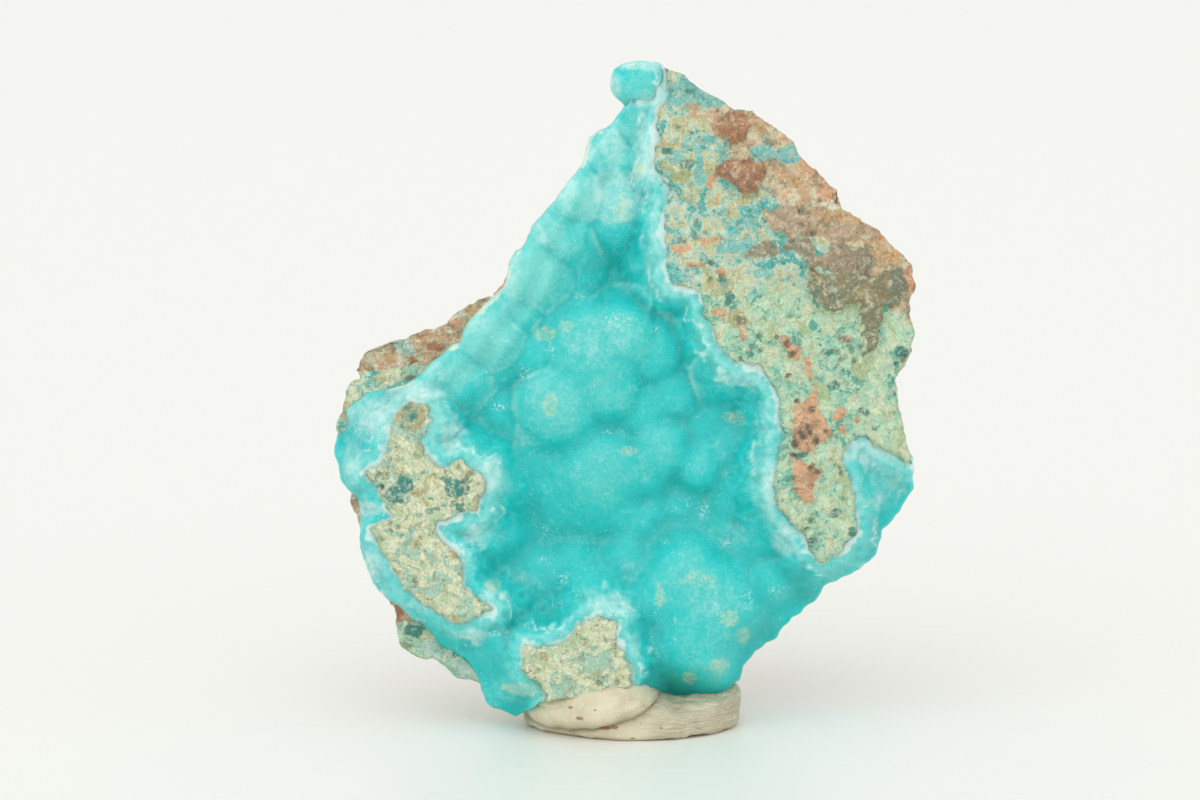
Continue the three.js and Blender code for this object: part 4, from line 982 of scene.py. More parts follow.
MILKY_VEILS_AND_GLOW = [  # broad milky veils, and one row of painted light on the knob's rim: x, z, half width, half height, strength
    [-24.2, -1.4, 3.4, 2.4, 0.8], [-26.2, -5.4, 1.4, 2.6, 0.6], [-20.2, 0.7, 3.0, 1.2, 0.8],
    [-17.0, -3.4, 1.5, 2.0, 0.7], [-24.8, -9.8, 1.8, 0.9, 0.9], [-24.2, -15.0, 1.2, 2.6, 0.7],
    [-20.6, -18.8, 2.4, 1.0, 0.4], [-15.2, -21.2, 1.6, 0.7, 0.9], [-14.8, -12.2, 1.6, 1.2, 0.9],
    [-13.4, -6.6, 1.2, 2.0, 0.7], [-13.6, -17.8, 1.2, 1.6, 0.6], [-2.6, -18.6, 2.6, 1.4, 0.8],
    [-0.6, -22.6, 0.9, 2.2, 0.5], [11.8, -8.2, 1.2, 3.4, 0.7], [13.2, -12.6, 1.6, 1.8, 0.8],
    [20.8, -4.8, 2.6, 1.4, 1.0], [22.4, -7.6, 2.4, 2.6, 0.45], [19.6, -9.6, 0.9, 3.4, 0.5],
    [9.4, 1.8, 2.0, 0.8, 0.5], [11.2, -1.8, 1.0, 2.6, 0.45], [4.1, 10.4, 1.4, 1.2, 0.8],
    [1.4, 16.2, 0.7, 3.4, 0.5], [0.7, 22.4, 1.5, 3.8, 0.75], [1.9, 27.4, 0.7, 2.6, 0.8],
    [-4.8, 22.4, 1.4, 1.4, 0.6], [-10.4, -15.9, 1.6, 1.4, 0.3], [-0.9, -15.6, 1.6, 1.2, 0.3],
    [-10.2, -3.4, 1.6, 1.6, 0.25], [8.4, -12.4, 2.0, 1.6, 0.3],
    # the row at x -2.4, z 28.4 paints the knob's left rim paler where light shines through it: painted
    # light
    [-2.4, 28.4, 0.8, 1.6, 0.8], [0.5, 26.9, 1.5, 0.5, 1.0], [-0.6, 30.4, 1.8, 0.7, 0.8],
    [0.9, 30.3, 1.4, 0.8, 0.9], [-2.2, 18.6, 3.6, 3.0, 0.75], [-6.6, 18.8, 1.6, 2.0, 0.65],
    [-2.6, 23.0, 1.6, 2.4, 0.6], [-8.8, 15.4, 1.6, 1.8, 0.5], [-11.6, 11.4, 1.2, 3.0, 0.55],
    [-15.0, 7.0, 1.6, 1.6, 0.55], [-18.4, 2.6, 1.6, 1.2, 0.5],
    [-4.2, 5.2, 3.4, 2.8, 0.3], [-8.6, 0.0, 2.0, 1.8, 0.3], [6.8, -18.6, 3.0, 2.2, 0.3],
    [-12.4, -26.6, 2.2, 1.4, 0.3],
]
FAINT_ROOTS = [  # where the white root hardly shows: as for the dust
    [-20.0, -17.0, 3.2, 2.0], [-16.8, -20.4, 2.6, 1.2], [-13.4, -15.2, 1.2, 1.6, 0.6],
    [-9.4, -25.4, 1.6, 1.6, 0.7], [12.4, -4.4, 1.2, 2.4, 0.6], [7.6, 4.8, 1.4, 1.6, 0.4],
]
CREAM_EDGES = [  # where the edge of the crust is pale cream: x, z, half width, half height
    [1.3, 31.2, 1.7, 0.4], [2.9, 30.4, 0.7, 0.6], [-4.9, 23.3, 0.8, 0.3], [-6.3, 20.8, 0.3, 0.5],
    [-12.2, 12.8, 0.4, 0.6], [-14.2, 8.6, 0.6, 0.25], [-16.4, 5.6, 0.5, 0.3],
]
print(len(MILKY_VEILS_AND_GLOW), "milky veils,", len(DUST), "patches of grit and", len(GLINTS), "painted_glints")

# %% Tone, rim and dust of the crust
def spread(x, z, ovals):
    """1 in the middle of each oval, fading to 0 at its edge."""
    total = np.zeros(x.shape)
    for middle_x, middle_z, half_width, half_height, *given in ovals:
        strength = given[0] if given else 1.0
        out = np.hypot((x - middle_x) / half_width, (z - middle_z) / half_height)
        total = np.maximum(total, strength * smoothstep(1.3 - out, 0, 1))
    return total


def rim_of_crust(x, z, inset):
    """White root beside the rock, the paler band outside it, and its bright outer line."""
    apart = ragged_patch(x, z) + inset
    width = 0.6 + 0.5 * noise(flat(x, z), 3.4, 51) + 0.35 * noise(flat(x, z), 0.8, 53)
    width = np.maximum(width, 0.3)
    strength = np.clip(0.7 + 1.1 * noise(flat(x, z), 3.0, 54), 0.15, 1)
    strength = strength * (1 - 0.8 * spread(x, z, FAINT_ROOTS))
    root = strength * smoothstep(apart, -0.6, -0.3) * (1 - smoothstep(apart, 0.4 * width, 1.1 * width))
    band = smoothstep(2.6 * width - apart, -0.8, 1.8)
    line = 1 - smoothstep(np.abs(apart - 2.4 * width - 0.3), 0.05, 0.28)
    broken = smoothstep(noise(flat(x, z), 2.5, 52), -0.25, 0.2)
    return root, band, line * broken


def tone_of_crust(x, z):
    """Painted shade and light: 0 where the crust is deepest in colour, in its clefts, 1 where it is palest.
    """
    tone = sampled(standing, x, z) - 0.5 * spread(x, z, SHADED_CLEFTS)
    tone += 0.4 * (sampled(lit_discs, x, z) - 0.95) * (0.5 + 0.5 * smoothstep(-z, -6, 6))
    tone += 0.4 * (1 - smoothstep(distance_to_line(x, z, CREST_LINE), 1.5, 6.5))
    # darker towards the bottom
    tone -= 0.14 * smoothstep(-z, 6, 16)
    return np.clip(0.5 + 0.6 * tone, 0, 1)


def paint_crust(piece, points, inset=0.0):
    """Paints every field of the crust. The inset moves its white root towards the rock."""
    x, _, z = points.T
    root, band, line = rim_of_crust(x, z, inset)
    clear = distance_to_patch(x, z) > 1.6
    sparse = smoothstep(noise(flat(x, z), 2.6, 56), -0.3, 0.25) * clear
    outer = smoothstep(signed_distance(x, z, FACE_OUTLINE), -0.4, 0.0)
    outer = outer * smoothstep(noise(flat(x, z), 2.0, 57), -0.1, 0.3)
    crest = 1 - smoothstep(distance_to_line(x, z, CREST_LINE), 1.5, 3.0)
    # The tone painted here is painted shade and light, and the arcs and halos are painted highlights.
    paint(piece, tone=tone_of_crust(x, z), root=np.clip(root, 0, 1), band=np.clip(band, 0, 1),
          line=line, arc=sparse * smoothstep(z, -6, -2) * sampled(arcs, x, z),
          halo=clear * (0.4 + 0.6 * smoothstep(z, -6, 0)) * sampled(halos, x, z),
          cloud=spread(x, z, MILKY_VEILS_AND_GLOW), dust=spread(x, z, DUST), glint=spread(x, z, GLINTS),
          cream=np.maximum(spread(x, z, CREAM_EDGES), 0.6 * outer * crest))


paint_crust(crust, crust_points)

# %% [markdown]
# ## The knob at the tip
#
# The crust ends at the top in a rounded knob that leans out to the left over a small notch.
# A height field can't overhang, so the knob is a piece of its own: a fine ball whose points
# move out to the skin of a few merged balls. It grows out of the crust.

# %% Skin of the knob
KNOBS = [  # x, z, depth behind the face, radius
    (-0.5, 28.6, 1.9, 1.9), (0.8, 29.0, 1.7, 1.6), (-1.1, 29.0, 1.9, 1.35), (0.5, 27.5, 2.0, 1.6),
    (0.8, 26.4, 2.6, 1.5),
]
KNOB_REACH = 7.0  # farther than any of its skin lies from the middle of the first ball
KNOB_BLEND = 1.1  # how softly the balls run together
KNOB_BUMPS = 0.1  # height of its fine bumps
HALVINGS = 18  # how often the span is halved in which the skin is crossed


def knob_middle(x, z, depth):
    """The middle of a ball of the knob, from its place behind the face."""
    return np.array([x, face_depth(x, z) + depth, z])


def knob_distance(points):
    """Distance to the skin of the merged balls, positive inside them."""
    inside = [radius - np.linalg.norm(points - knob_middle(*place), axis=1)
              for *place, radius in KNOBS]
    merged = inside[0]
    for ball in inside[1:]:
        merged = soft_max(merged, ball, KNOB_BLEND)
    return merged


def knob_skin(directions):
    """Where rays from the middle of the first ball leave the merged balls."""
    middle = knob_middle(*KNOBS[0][:3])
    far = np.full(len(directions), KNOB_REACH)
    near = np.zeros(len(directions))
    for _ in range(HALVINGS):
        between = (near + far) / 2
        outside = knob_distance(middle + directions * between[:, None]) < 0
        far = np.where(outside, between, far)
        near = np.where(outside, near, between)
    bumps = KNOB_BUMPS * noise(middle + directions * near[:, None], 0.9, 61)
    return middle + directions * (near + bumps)[:, None]


# %% The knob as a fine ball
KNOB_DETAIL = 6  # how often the faces of its ball are divided
KNOB_INSET = 0.3  # its skin counts as this much farther from the rock
NO_QUADS = np.zeros((0, 4), int)


def ball_directions(detail):
    """Points and triangles of a ball of radius 1."""
    bpy.ops.mesh.primitive_ico_sphere_add(subdivisions=detail, radius=1)
    ball = bpy.context.object
    corners = np.array([vertex.co[:] for vertex in ball.data.vertices])
    faces = np.array([polygon.vertices[:] for polygon in ball.data.polygons])
    bpy.data.objects.remove(ball)
    return corners, faces


knob_directions, knob_faces = ball_directions(KNOB_DETAIL)
knob_points = knob_skin(knob_directions)
knob = mesh_from("crust_knob", on_the_shelf(knob_points), NO_QUADS, knob_faces)
paint_crust(knob, knob_points, KNOB_INSET)

# %% [markdown]
# ## The putty
#
# The pad was rolled between fingers, folded once and pressed down, so a thick flap lies over
# a lower roll and the crease runs across the front. Cloth or soft-body tools would be
# overkill: the flap is a step in the distance to the crease, pushed out of a squashed ball.

# %% Shape of the pad
PAD_MIDDLE = np.array([0.75, -2.3, 2.5])  # above the shelf, in mm
PAD_HALF = np.array([10.0, 9.9, 2.7])  # half its width, depth and height
PAD_ROUNDNESS = (9.0, 2.6)  # below and above its middle: a higher number gives a squarer edge
PAD_TOP = np.array([  # height of the top from left to right: x, z
    [-9.5, 3.7], [-7.5, 4.6], [-4.0, 5.3], [-0.5, 5.6], [1.2, 5.2], [2.6, 3.9], [4.5, 2.9],
    [7.0, 3.4], [10.0, 4.4],
])
CREASE = np.array([  # under the flap, along the front: x, z
    [-9.8, 1.5], [-8.1, 0.9], [-6.8, 0.65], [-5.1, 0.65], [-2.2, 1.2], [0.6, 2.1], [2.2, 3.0],
    [3.1, 3.5], [4.0, 4.0], [4.6, 4.8],
])
WRINKLES = [  # short folds beside the crease: x, z
    [[1.6, 2.1], [2.6, 2.9], [3.6, 3.5], [4.6, 4.3]], [[-8.0, 2.9], [-6.4, 2.6], [-5.2, 2.9]],
    [[0.2, 2.6], [1.4, 3.4], [2.2, 4.4]],
]
PAD_SPECKS = [  # grit pressed into the front: x, z, half width, half height
    [-5.0, 3.0, 0.28, 0.16], [-4.2, 2.1, 0.45, 0.2], [-6.2, 4.2, 0.5, 0.4], [-1.9, 1.2, 0.7, 0.22],
    [-1.0, 1.3, 0.4, 0.2], [4.6, 2.6, 0.3, 0.22], [0.6, 0.3, 0.3, 0.12], [-4.7, 0.9, 0.15, 0.12],
    [1.6, 3.4, 0.12, 0.1], [-2.8, 3.0, 0.15, 0.1], [6.9, 1.8, 0.25, 0.12], [3.2, 1.2, 0.2, 0.1],
]
FLAP_END = 5.2  # where the flap runs out at the right
FLAP_THICKNESS = 1.1
FLAP_ROUNDING = 1.2  # height over the crease in which the flap reaches its thickness
CREASE_DEPTH = 0.35
print("the pad is", *(2 * PAD_HALF[:2]).round(1), "mm wide and deep before it is folded")

# %% Points of the pad
def height_over_crease(x, z):
    """Distance to the crease, negative below it."""
    line_z = np.interp(x, CREASE[:, 0], CREASE[:, 1])
    return np.where(z > line_z, 1, -1) * distance_to_line(x, z, CREASE)


def toward_front(y, start, end):
    """0 up to a distance in front of the pad's middle, 1 past another."""
    return smoothstep(PAD_MIDDLE[1] - y, start, end)


def squashed_ball(directions):
    """A ball with a flat foot and a top that follows the line of the pad's top."""
    around = np.hypot(directions[:, 0], directions[:, 1])
    power = np.where(directions[:, 2] < 0, *PAD_ROUNDNESS)
    size = (around ** power + np.abs(directions[:, 2]) ** power) ** (-1 / power)
    points = directions * size[:, None] * PAD_HALF
    out = points * [1, 1, 0] / np.maximum(np.hypot(points[:, 0], points[:, 1]), 1e-6)[:, None]
    points = points + PAD_MIDDLE
    full_height = PAD_MIDDLE[2] + PAD_HALF[2]
    points[:, 2] *= np.interp(points[:, 0], PAD_TOP[:, 0], PAD_TOP[:, 1]) / full_height
    return points, out


def pad_points(directions):
    """Points of the pad, their height over the crease, and how far they face the front."""
    points, out = squashed_ball(directions)
    x, y, z = points.T
    over = height_over_crease(x, z)
    front = toward_front(y, 1, 6) * smoothstep(FLAP_END - x, 0, 2)
    rounded = np.sqrt(1 - (1 - np.clip(over / FLAP_ROUNDING, 0, 1)) ** 2)
    step = FLAP_THICKNESS * rounded - CREASE_DEPTH * np.exp(-np.abs(over) / 0.25)
    strands = noise(points * [0.35, 0.35, 5.0], 1.1, 71) * smoothstep(x, 0.5, 3.5)
    folds = sum(np.exp(-distance_to_line(x, z, np.array(fold)) / 0.22) for fold in WRINKLES)
    swell = 0.35 * noise(points, 5.0, 72) + 0.14 * noise(points, 1.8, 73)
    wrinkles = 0.09 * strands * toward_front(y, 0, 3) - 0.22 * folds * front
    points = points + out * (step * front + swell + wrinkles)[:, None]
    ragged = 0.1 + 0.12 * smoothstep(points[:, 0], 3.0, 5.0)
    points[:, 2] = np.maximum(points[:, 2] + ragged * rough(points, 1.5, 3, 74), 0)
    return points, over, front


# %% The pad as a fine ball
PAD_DETAIL = 7

pad_directions, pad_faces = ball_directions(PAD_DETAIL)
putty_points, over_crease, pad_front = pad_points(pad_directions)
putty = mesh_from("putty_pad", putty_points * MM, NO_QUADS, pad_faces)
x, y, z = putty_points.T
# the crease field is painted shade along the crease under the flap
paint(putty, speck=spread(x, z, PAD_SPECKS) * pad_front,
      crease=np.exp(-np.abs(over_crease) / 0.35) * pad_front,
      strand=smoothstep(x, 0.5, 3.5) * toward_front(y, 0, 3))

# %% [markdown]
# ## Writing materials
#
# A material here is a sum of masks. The small class below adds one node per call and gives
# back its output, so a material reads from top to bottom. Effects that several materials
# share are node groups with named sockets: grain, scattered specks, thin veins, and a mask
# with a ragged edge.

# %% A short way to write nodes
class Graph:
    """A node tree written as calls: each adds a node and gives back one of its outputs."""

    def __init__(self, tree):
        self.tree = tree

    def fed(self, node, values, output):
        """Links or sets the inputs of a node and gives back one of its outputs."""
        for name, value in values.items():
            if isinstance(value, bpy.types.NodeSocket):
                self.tree.links.new(value, node.inputs[name])
            else:
                node.inputs[name].default_value = value
        return node.outputs[output]

    def add(self, kind, values, output=0, **settings):
        node = self.tree.nodes.new("ShaderNode" + kind)
        for name, setting in settings.items():
            setattr(node, name, setting)
        return self.fed(node, values, output)

    def group(self, tree, values, output):
        node = self.tree.nodes.new("ShaderNodeGroup")
        node.node_tree = tree
        return self.fed(node, values, output)

    def math(self, operation, a, b=0.0):
        return self.add("Math", {0: a, 1: b}, operation=operation)

    def plus(self, a, b):
        return self.math("ADD", a, b)

    def times(self, a, b):
        return self.math("MULTIPLY", a, b)

    def mix(self, a, b, factor):
        values = {0: factor, 6: a, 7: b}
        return self.add("Mix", values, 2, data_type="RGBA", clamp_factor=True)

    def range(self, value, low, high, to_low=0.0, to_high=1.0):
        values = {0: value, 1: low, 2: high, 3: to_low, 4: to_high}
        return self.add("MapRange", values, interpolation_type="SMOOTHSTEP")

    def painted(self, name):
        return self.add("Attribute", {}, "Fac", attribute_name=name)

    def painted_colour(self, name):
        return self.add("Attribute", {}, "Color", attribute_name=name)

    def ramp(self, value, stops):
        colour = self.add("ValToRGB", {0: value})
        elements = colour.node.color_ramp.elements
        while len(elements) < len(stops):
            elements.new(0.5)
        for element, (place, shade) in zip(elements, stops):
            element.position = place
            element.color = (*shade, 1)
        return colour


def new_group(name, inputs, output):
    """An empty group with float inputs, their defaults, and one float output."""
    tree = bpy.data.node_groups.new(name, "ShaderNodeTree")
    for socket, default in inputs.items():
        made = tree.interface.new_socket(socket, in_out="INPUT", socket_type="NodeSocketFloat")
        made.default_value = default
    tree.interface.new_socket(output, in_out="OUTPUT", socket_type="NodeSocketFloat")
    enter, leave = tree.nodes.new("NodeGroupInput"), tree.nodes.new("NodeGroupOutput")
    return tree, Graph(tree), enter.outputs, leave.inputs[output]


def places_in_mm(g):
    """Object coordinates in millimetres."""
    place = g.add("TexCoord", {}, "Object")
    return g.add("VectorMath", {0: place, "Scale": 1 / MM}, operation="SCALE")


def sized_noise(g, given, seed_step=0.0, **settings):
    """Noise with its bumps a given Size apart. Each step of the group's Seed moves it."""
    place = places_in_mm(g)
    if seed_step:
        away = g.times(given["Seed"], seed_step)
        place = g.add("VectorMath", {0: place, 1: away}, operation="ADD")
    scale = g.math("DIVIDE", 1.0, given["Size"])
    return g.add("TexNoise", {"Vector": place, "Scale": scale, **settings})


print("one unit of the object is", round(1 / MM), "mm in the materials")

# %% Shared effects
def make_grain():
    """Even noise. Size is the distance between its bumps in mm, and Seed moves them."""
    inputs = {"Size": 1.0, "Detail": 4.0, "Twist": 0.0, "Seed": 0.0, "Crispness": 0.6}
    tree, g, given, made = new_group("Grain", inputs, "Value")
    field = sized_noise(g, given, 17.3, Detail=given["Detail"],
                        Roughness=given["Crispness"], Distortion=given["Twist"])
    tree.links.new(field, made)
    return tree


def make_specks():
    """Scattered round specks. Share is how many of the cells, Size mm apart, hold one."""
    inputs = {"Size": 0.6, "Share": 0.3, "Width": 0.3}
    tree, g, given, made = new_group("Scattered specks", inputs, "Mask")
    wobble = g.add("TexNoise", {"Vector": places_in_mm(g), "Scale": 4.0, "Detail": 2.0}, "Color")
    moved = g.add("VectorMath", {0: wobble, "Scale": 0.25}, operation="SCALE")
    place = g.add("VectorMath", {0: places_in_mm(g), 1: moved}, operation="ADD")
    scale = g.math("DIVIDE", 1.0, given["Size"])
    cells = g.add("TexVoronoi", {"Vector": place, "Scale": scale}, "Distance").node
    lot = g.add("SeparateColor", {0: cells.outputs["Color"]}, "Red")
    chosen = g.math("LESS_THAN", lot, given["Share"])
    near = g.range(cells.outputs["Distance"], given["Width"], 0.0)
    tree.links.new(g.times(near, chosen), made)
    return tree


def make_ragged():
    """Turns a painted mask with a soft edge into one with a crisp, wandering edge."""
    inputs = {"Mask": 0.0, "Size": 0.5, "Wander": 0.5, "Softness": 0.08}
    tree, g, given, made = new_group("Ragged edge", inputs, "Mask")
    wave = g.math("SUBTRACT", sized_noise(g, given, Detail=5.0, Roughness=0.65), 0.5)
    moved = g.plus(given["Mask"], g.times(wave, given["Wander"]))
    low = g.math("SUBTRACT", 0.5, given["Softness"])
    high = g.plus(0.5, given["Softness"])
    tree.links.new(g.range(moved, low, high), made)
    return tree


def make_veins():
    """Thin curling lines, where a noise crosses its middle. Width is a share of its range."""
    inputs = {"Size": 1.0, "Width": 0.03, "Twist": 1.0, "Seed": 0.0}
    tree, g, given, made = new_group("Veins", inputs, "Mask")
    field = sized_noise(g, given, 11.9, Detail=3.0, Roughness=0.55, Distortion=given["Twist"])
    off = g.math("ABSOLUTE", g.math("SUBTRACT", field, 0.5))
    tree.links.new(g.range(off, given["Width"], 0.0), made)
    return tree


GRAIN, SPECKS, RAGGED, VEINS = make_grain(), make_specks(), make_ragged(), make_veins()
print("shared effects:", [tree.name for tree in (GRAIN, SPECKS, RAGGED, VEINS)])

# %% Short names for what the materials repeat
def grain(g, size, detail=4.0, **others):
    """Even noise. The others are its Crispness, Twist and Seed."""
    return g.group(GRAIN, {"Size": size, "Detail": detail, **others}, "Value")


def veins(g, size, width, twist, seed=0.0):
    values = {"Size": size, "Width": width, "Twist": twist, "Seed": seed}
    return g.group(VEINS, values, "Mask")


def specks(g, size, share, width):
    return g.group(SPECKS, {"Size": size, "Share": share, "Width": width}, "Mask")


def torn(g, field, size, wander, softness=0.08):
    """A painted field with a ragged edge."""
    values = {"Mask": g.painted(field), "Size": size, "Wander": wander, "Softness": softness}
    return g.group(RAGGED, values, "Mask")


def pigment(red, green, blue):
    """A display colour as a socket value."""
    return (*linear(red, green, blue), 1)


def laid_over(g, colour, layers):
    """A colour under several others, each a display colour with its mask."""
    for shade, mask in layers:
        colour = g.mix(colour, pigment(*shade), mask)
    return colour


def grains_over(g, colour, noises, layers):
    """The same, where each shows as its noise passes from a low to a high level."""
    for shade, name, low, high, strength in layers:
        mask = g.times(g.range(noises[name], low, high), strength)
        colour = g.mix(colour, pigment(*shade), mask)
    return colour


def weighted(g, parts):
    """The sum of several fields, each times its weight."""
    total, *others = [g.times(field, weight) for field, weight in parts]
    for part in others:
        total = g.plus(total, part)
    return total


def new_material(name, **constants):
    """A material with its Principled shader, whose even values are set on its own sockets."""
    material = bpy.data.materials.new(name)
    material.use_nodes = True
    surface = material.node_tree.nodes["Principled BSDF"]
    for socket, value in constants.items():
        surface.inputs[socket.replace("_", " ")].default_value = value
    return material, Graph(material.node_tree), surface


def finish_surface(g, surface, colour, roughness, bump_height, bump_mm):
    """Feeds the shader its colour, roughness and fine relief."""
    g.tree.links.new(colour, surface.inputs["Base Color"])
    g.tree.links.new(roughness, surface.inputs["Roughness"])
    values = {"Height": bump_height, "Distance": bump_mm * MM, "Strength": 1.0}
    g.tree.links.new(g.add("Bump", values), surface.inputs["Normal"])
    print("this material has", len(g.tree.nodes), "nodes")


# %% [markdown]
# ## Hemimorphite
#
# The crust is translucent like wax. Its blue deepens where light has to travel far, between
# the lumps, and is milky on their tops. A ramp over the painted tone paints that change into the
# colour, as painted shade in the clefts and painted light on the tops. On top of it come painted
# highlights on the lumps' edges, the milky band and white root by the rock, beige grit and tiny
# painted glints.

# %% Crust material
BLUES = [  # from the deepest tone to the palest: painted shade in the clefts to painted light on the tops
    (0.0, linear(0, 186, 184)), (0.22, linear(0, 195, 194)), (0.45, linear(26, 201, 199)),
    (0.7, linear(72, 202, 198)), (1.0, linear(114, 210, 204)),
]
SCATTERING = 0.0019  # how far light travels inside the crust, in metres


def layers_of_crust(g, shade, cloud, milk, fine):
    """What lies over the blue, from painted highlights to painted glints: a colour and its mask."""
    frost = g.range(weighted(g, [(fine, 0.5), (milk, 0.5)]), 0.44, 0.6)
    # the milky veils, and the painted light on the knob's rim
    veil_and_glow = torn(g, "cloud", 1.4, 1.3, 0.45)
    grit = g.range(grain(g, 0.28, 3.0, Seed=5.0), 0.46, 0.6, 0.15, 0.6)
    flecks = grain(g, 0.24, 3.0, Seed=2.0)
    # painted glints: white highlight spots on the lumps, and stray ones over the milky parts
    glint_mask = g.times(g.painted("glint"), g.range(flecks, 0.5, 0.66, 0.0, 0.55))
    stray_glints = g.times(g.range(flecks, 0.66, 0.7), g.range(cloud, 0.45, 0.6, 0.15, 0.6))
    threads = g.times(veins(g, 0.8, 0.02, 0.8, 9.0), g.range(cloud, 0.48, 0.62, 0.0, 0.25))
    return [
        # painted highlights: the paler skin inside the lit edges of the lumps, and two lines down their
        # bright arcs
        ((136, 221, 214), g.times(g.painted("halo"), g.range(milk, 0.3, 0.65, 0.25, 0.6))),
        ((154, 220, 213), g.times(frost, g.range(shade, 0.2, 0.8, 0.06, 0.32))),
        ((164, 228, 221), g.times(g.painted("arc"), g.range(milk, 0.35, 0.6, 0.2, 0.7))),
        ((190, 234, 228), threads),
        ((146, 218, 214), g.times(g.painted("band"), g.range(milk, 0.3, 0.65, 0.15, 0.7))),
        ((196, 232, 228), g.times(veil_and_glow, g.range(milk, 0.35, 0.65, 0.35, 0.9))),
        ((214, 240, 234), g.times(torn(g, "root", 0.5, 1.5, 0.35), 0.8)),
        ((212, 240, 235), g.times(g.painted("line"), g.range(milk, 0.38, 0.54, 0.2, 0.8))),
        ((222, 231, 208), g.times(torn(g, "cream", 0.7, 1.2, 0.2), 0.7)),
        ((214, 216, 174), g.times(torn(g, "dust", 0.9, 1.6, 0.3), grit)),
        # painted glints
        ((228, 244, 240), g.math("MAXIMUM", glint_mask, stray_glints)),
    ]


def crust_material():
    material, g, surface = new_material(
        "hemimorphite", Subsurface_Weight=0.85, Subsurface_Scale=SCATTERING,
        Subsurface_Radius=(1.0, 1.0, 1.0), IOR=1.5)
    cloud = grain(g, 2.4, 3.0)
    milk = grain(g, 0.9, 6.0, Crispness=0.7)
    fine = grain(g, 0.35, 5.0, Crispness=0.7)
    sugar = grain(g, 0.16, 3.0)
    # the painted shade and light of the crust, with some grain over it
    shade = g.plus(g.painted("tone"), g.range(cloud, 0.25, 0.75, -0.07, 0.07))
    shade = g.plus(shade, g.range(fine, 0.2, 0.8, -0.08, 0.08))
    colour = laid_over(g, g.ramp(shade, BLUES), layers_of_crust(g, shade, cloud, milk, fine))
    height = weighted(g, [(sugar, 0.6), (fine, 1.0), (milk, 0.5)])
    finish_surface(g, surface, colour, g.range(fine, 0.2, 0.8, 0.36, 0.55), height, 0.06)
    return material


hemimorphite = crust_material()

# %% [markdown]
# ## Matrix
#
# The rock is a breccia of smithsonite green, cream and blue-green grains with limonite
# stains. Three noises of unlike size choose the grain colours, painted zones shift the mixture
# towards warm or green, and the named marks lie over it with crisp ragged edges.

# %% Mixtures of the rock
MIXTURES = {  # two ground colours, then grains: colour, noise, low and high level, strength
    "cool": ((176, 220, 198), (208, 228, 202), [
        ((122, 210, 202), "large", 0.48, 0.45, 1.0), ((76, 184, 172), "patches", 0.445, 0.43, 1.0),
        ((220, 218, 164), "patches", 0.52, 0.535, 1.0), ((178, 186, 124), "patches", 0.58, 0.59, 1.0),
        ((54, 152, 142), "crumbs", 0.38, 0.37, 0.9),
    ]),
    "green": ((172, 226, 192), (200, 234, 194), [
        ((150, 218, 188), "large", 0.47, 0.45, 1.0), ((96, 178, 158), "patches", 0.425, 0.41, 1.0),
        ((218, 232, 186), "patches", 0.54, 0.55, 1.0), ((178, 204, 150), "large", 0.575, 0.59, 1.0),
        ((70, 140, 122), "crumbs", 0.38, 0.37, 0.9),
    ]),
    "warm": ((214, 190, 150), (226, 208, 168), [
        ((222, 166, 122), "large", 0.52, 0.54, 1.0), ((166, 148, 118), "patches", 0.45, 0.435, 1.0),
        ((150, 208, 196), "large", 0.41, 0.4, 1.0), ((238, 228, 196), "patches", 0.56, 0.57, 1.0),
        ((120, 92, 70), "crumbs", 0.37, 0.36, 0.85),
    ]),
    "granular": ((228, 233, 184), (239, 242, 204), [
        ((164, 214, 188), "large", 0.48, 0.45, 1.0), ((194, 190, 138), "patches", 0.43, 0.41, 1.0),
        ((190, 220, 176), "large", 0.54, 0.56, 1.0), ((108, 142, 112), "crumbs", 0.4, 0.39, 0.85),
    ]),
    "outside": ((206, 186, 150), (218, 204, 172), [
        ((204, 158, 116), "large", 0.51, 0.54, 1.0), ((160, 140, 110), "patches", 0.44, 0.42, 1.0),
        ((156, 210, 190), "large", 0.44, 0.42, 1.0), ((236, 224, 194), "crumbs", 0.56, 0.57, 1.0),
        ((112, 90, 70), "crumbs", 0.38, 0.37, 0.7),
    ]),
}
BROWN_GRAINS = [  # in the earthy marks
    ((136, 98, 70), "patches", 0.47, 0.43, 0.4), ((226, 182, 136), "large", 0.53, 0.57, 0.35),
    ((230, 212, 178), "crumbs", 0.55, 0.58, 0.6), ((108, 86, 66), "crumbs", 0.42, 0.39, 0.5),
    ((96, 80, 64), "fine", 0.4, 0.34, 0.4),
]
GREEN_GRAINS = [  # in the other marks
    ((216, 226, 192), "crumbs", 0.53, 0.57, 0.65), ((84, 176, 166), "patches", 0.46, 0.43, 0.4),
]
FINE_GRAINS = [  # over everything
    ((110, 108, 84), "fine", 0.6, 0.75, 0.3), ((242, 240, 218), "fine", 0.42, 0.34, 0.4),
]
GAMMA = 0.86  # lightens the whole rock a little
print("mixtures of the rock:", ", ".join(MIXTURES))

# %% Rock material
def mixture(g, noises, name):
    """One of the mixtures of grains."""
    one, other, grains = MIXTURES[name]
    ground = g.mix(pigment(*one), pigment(*other), g.range(noises["crumbs"], 0.45, 0.55))
    return grains_over(g, ground, noises, grains)


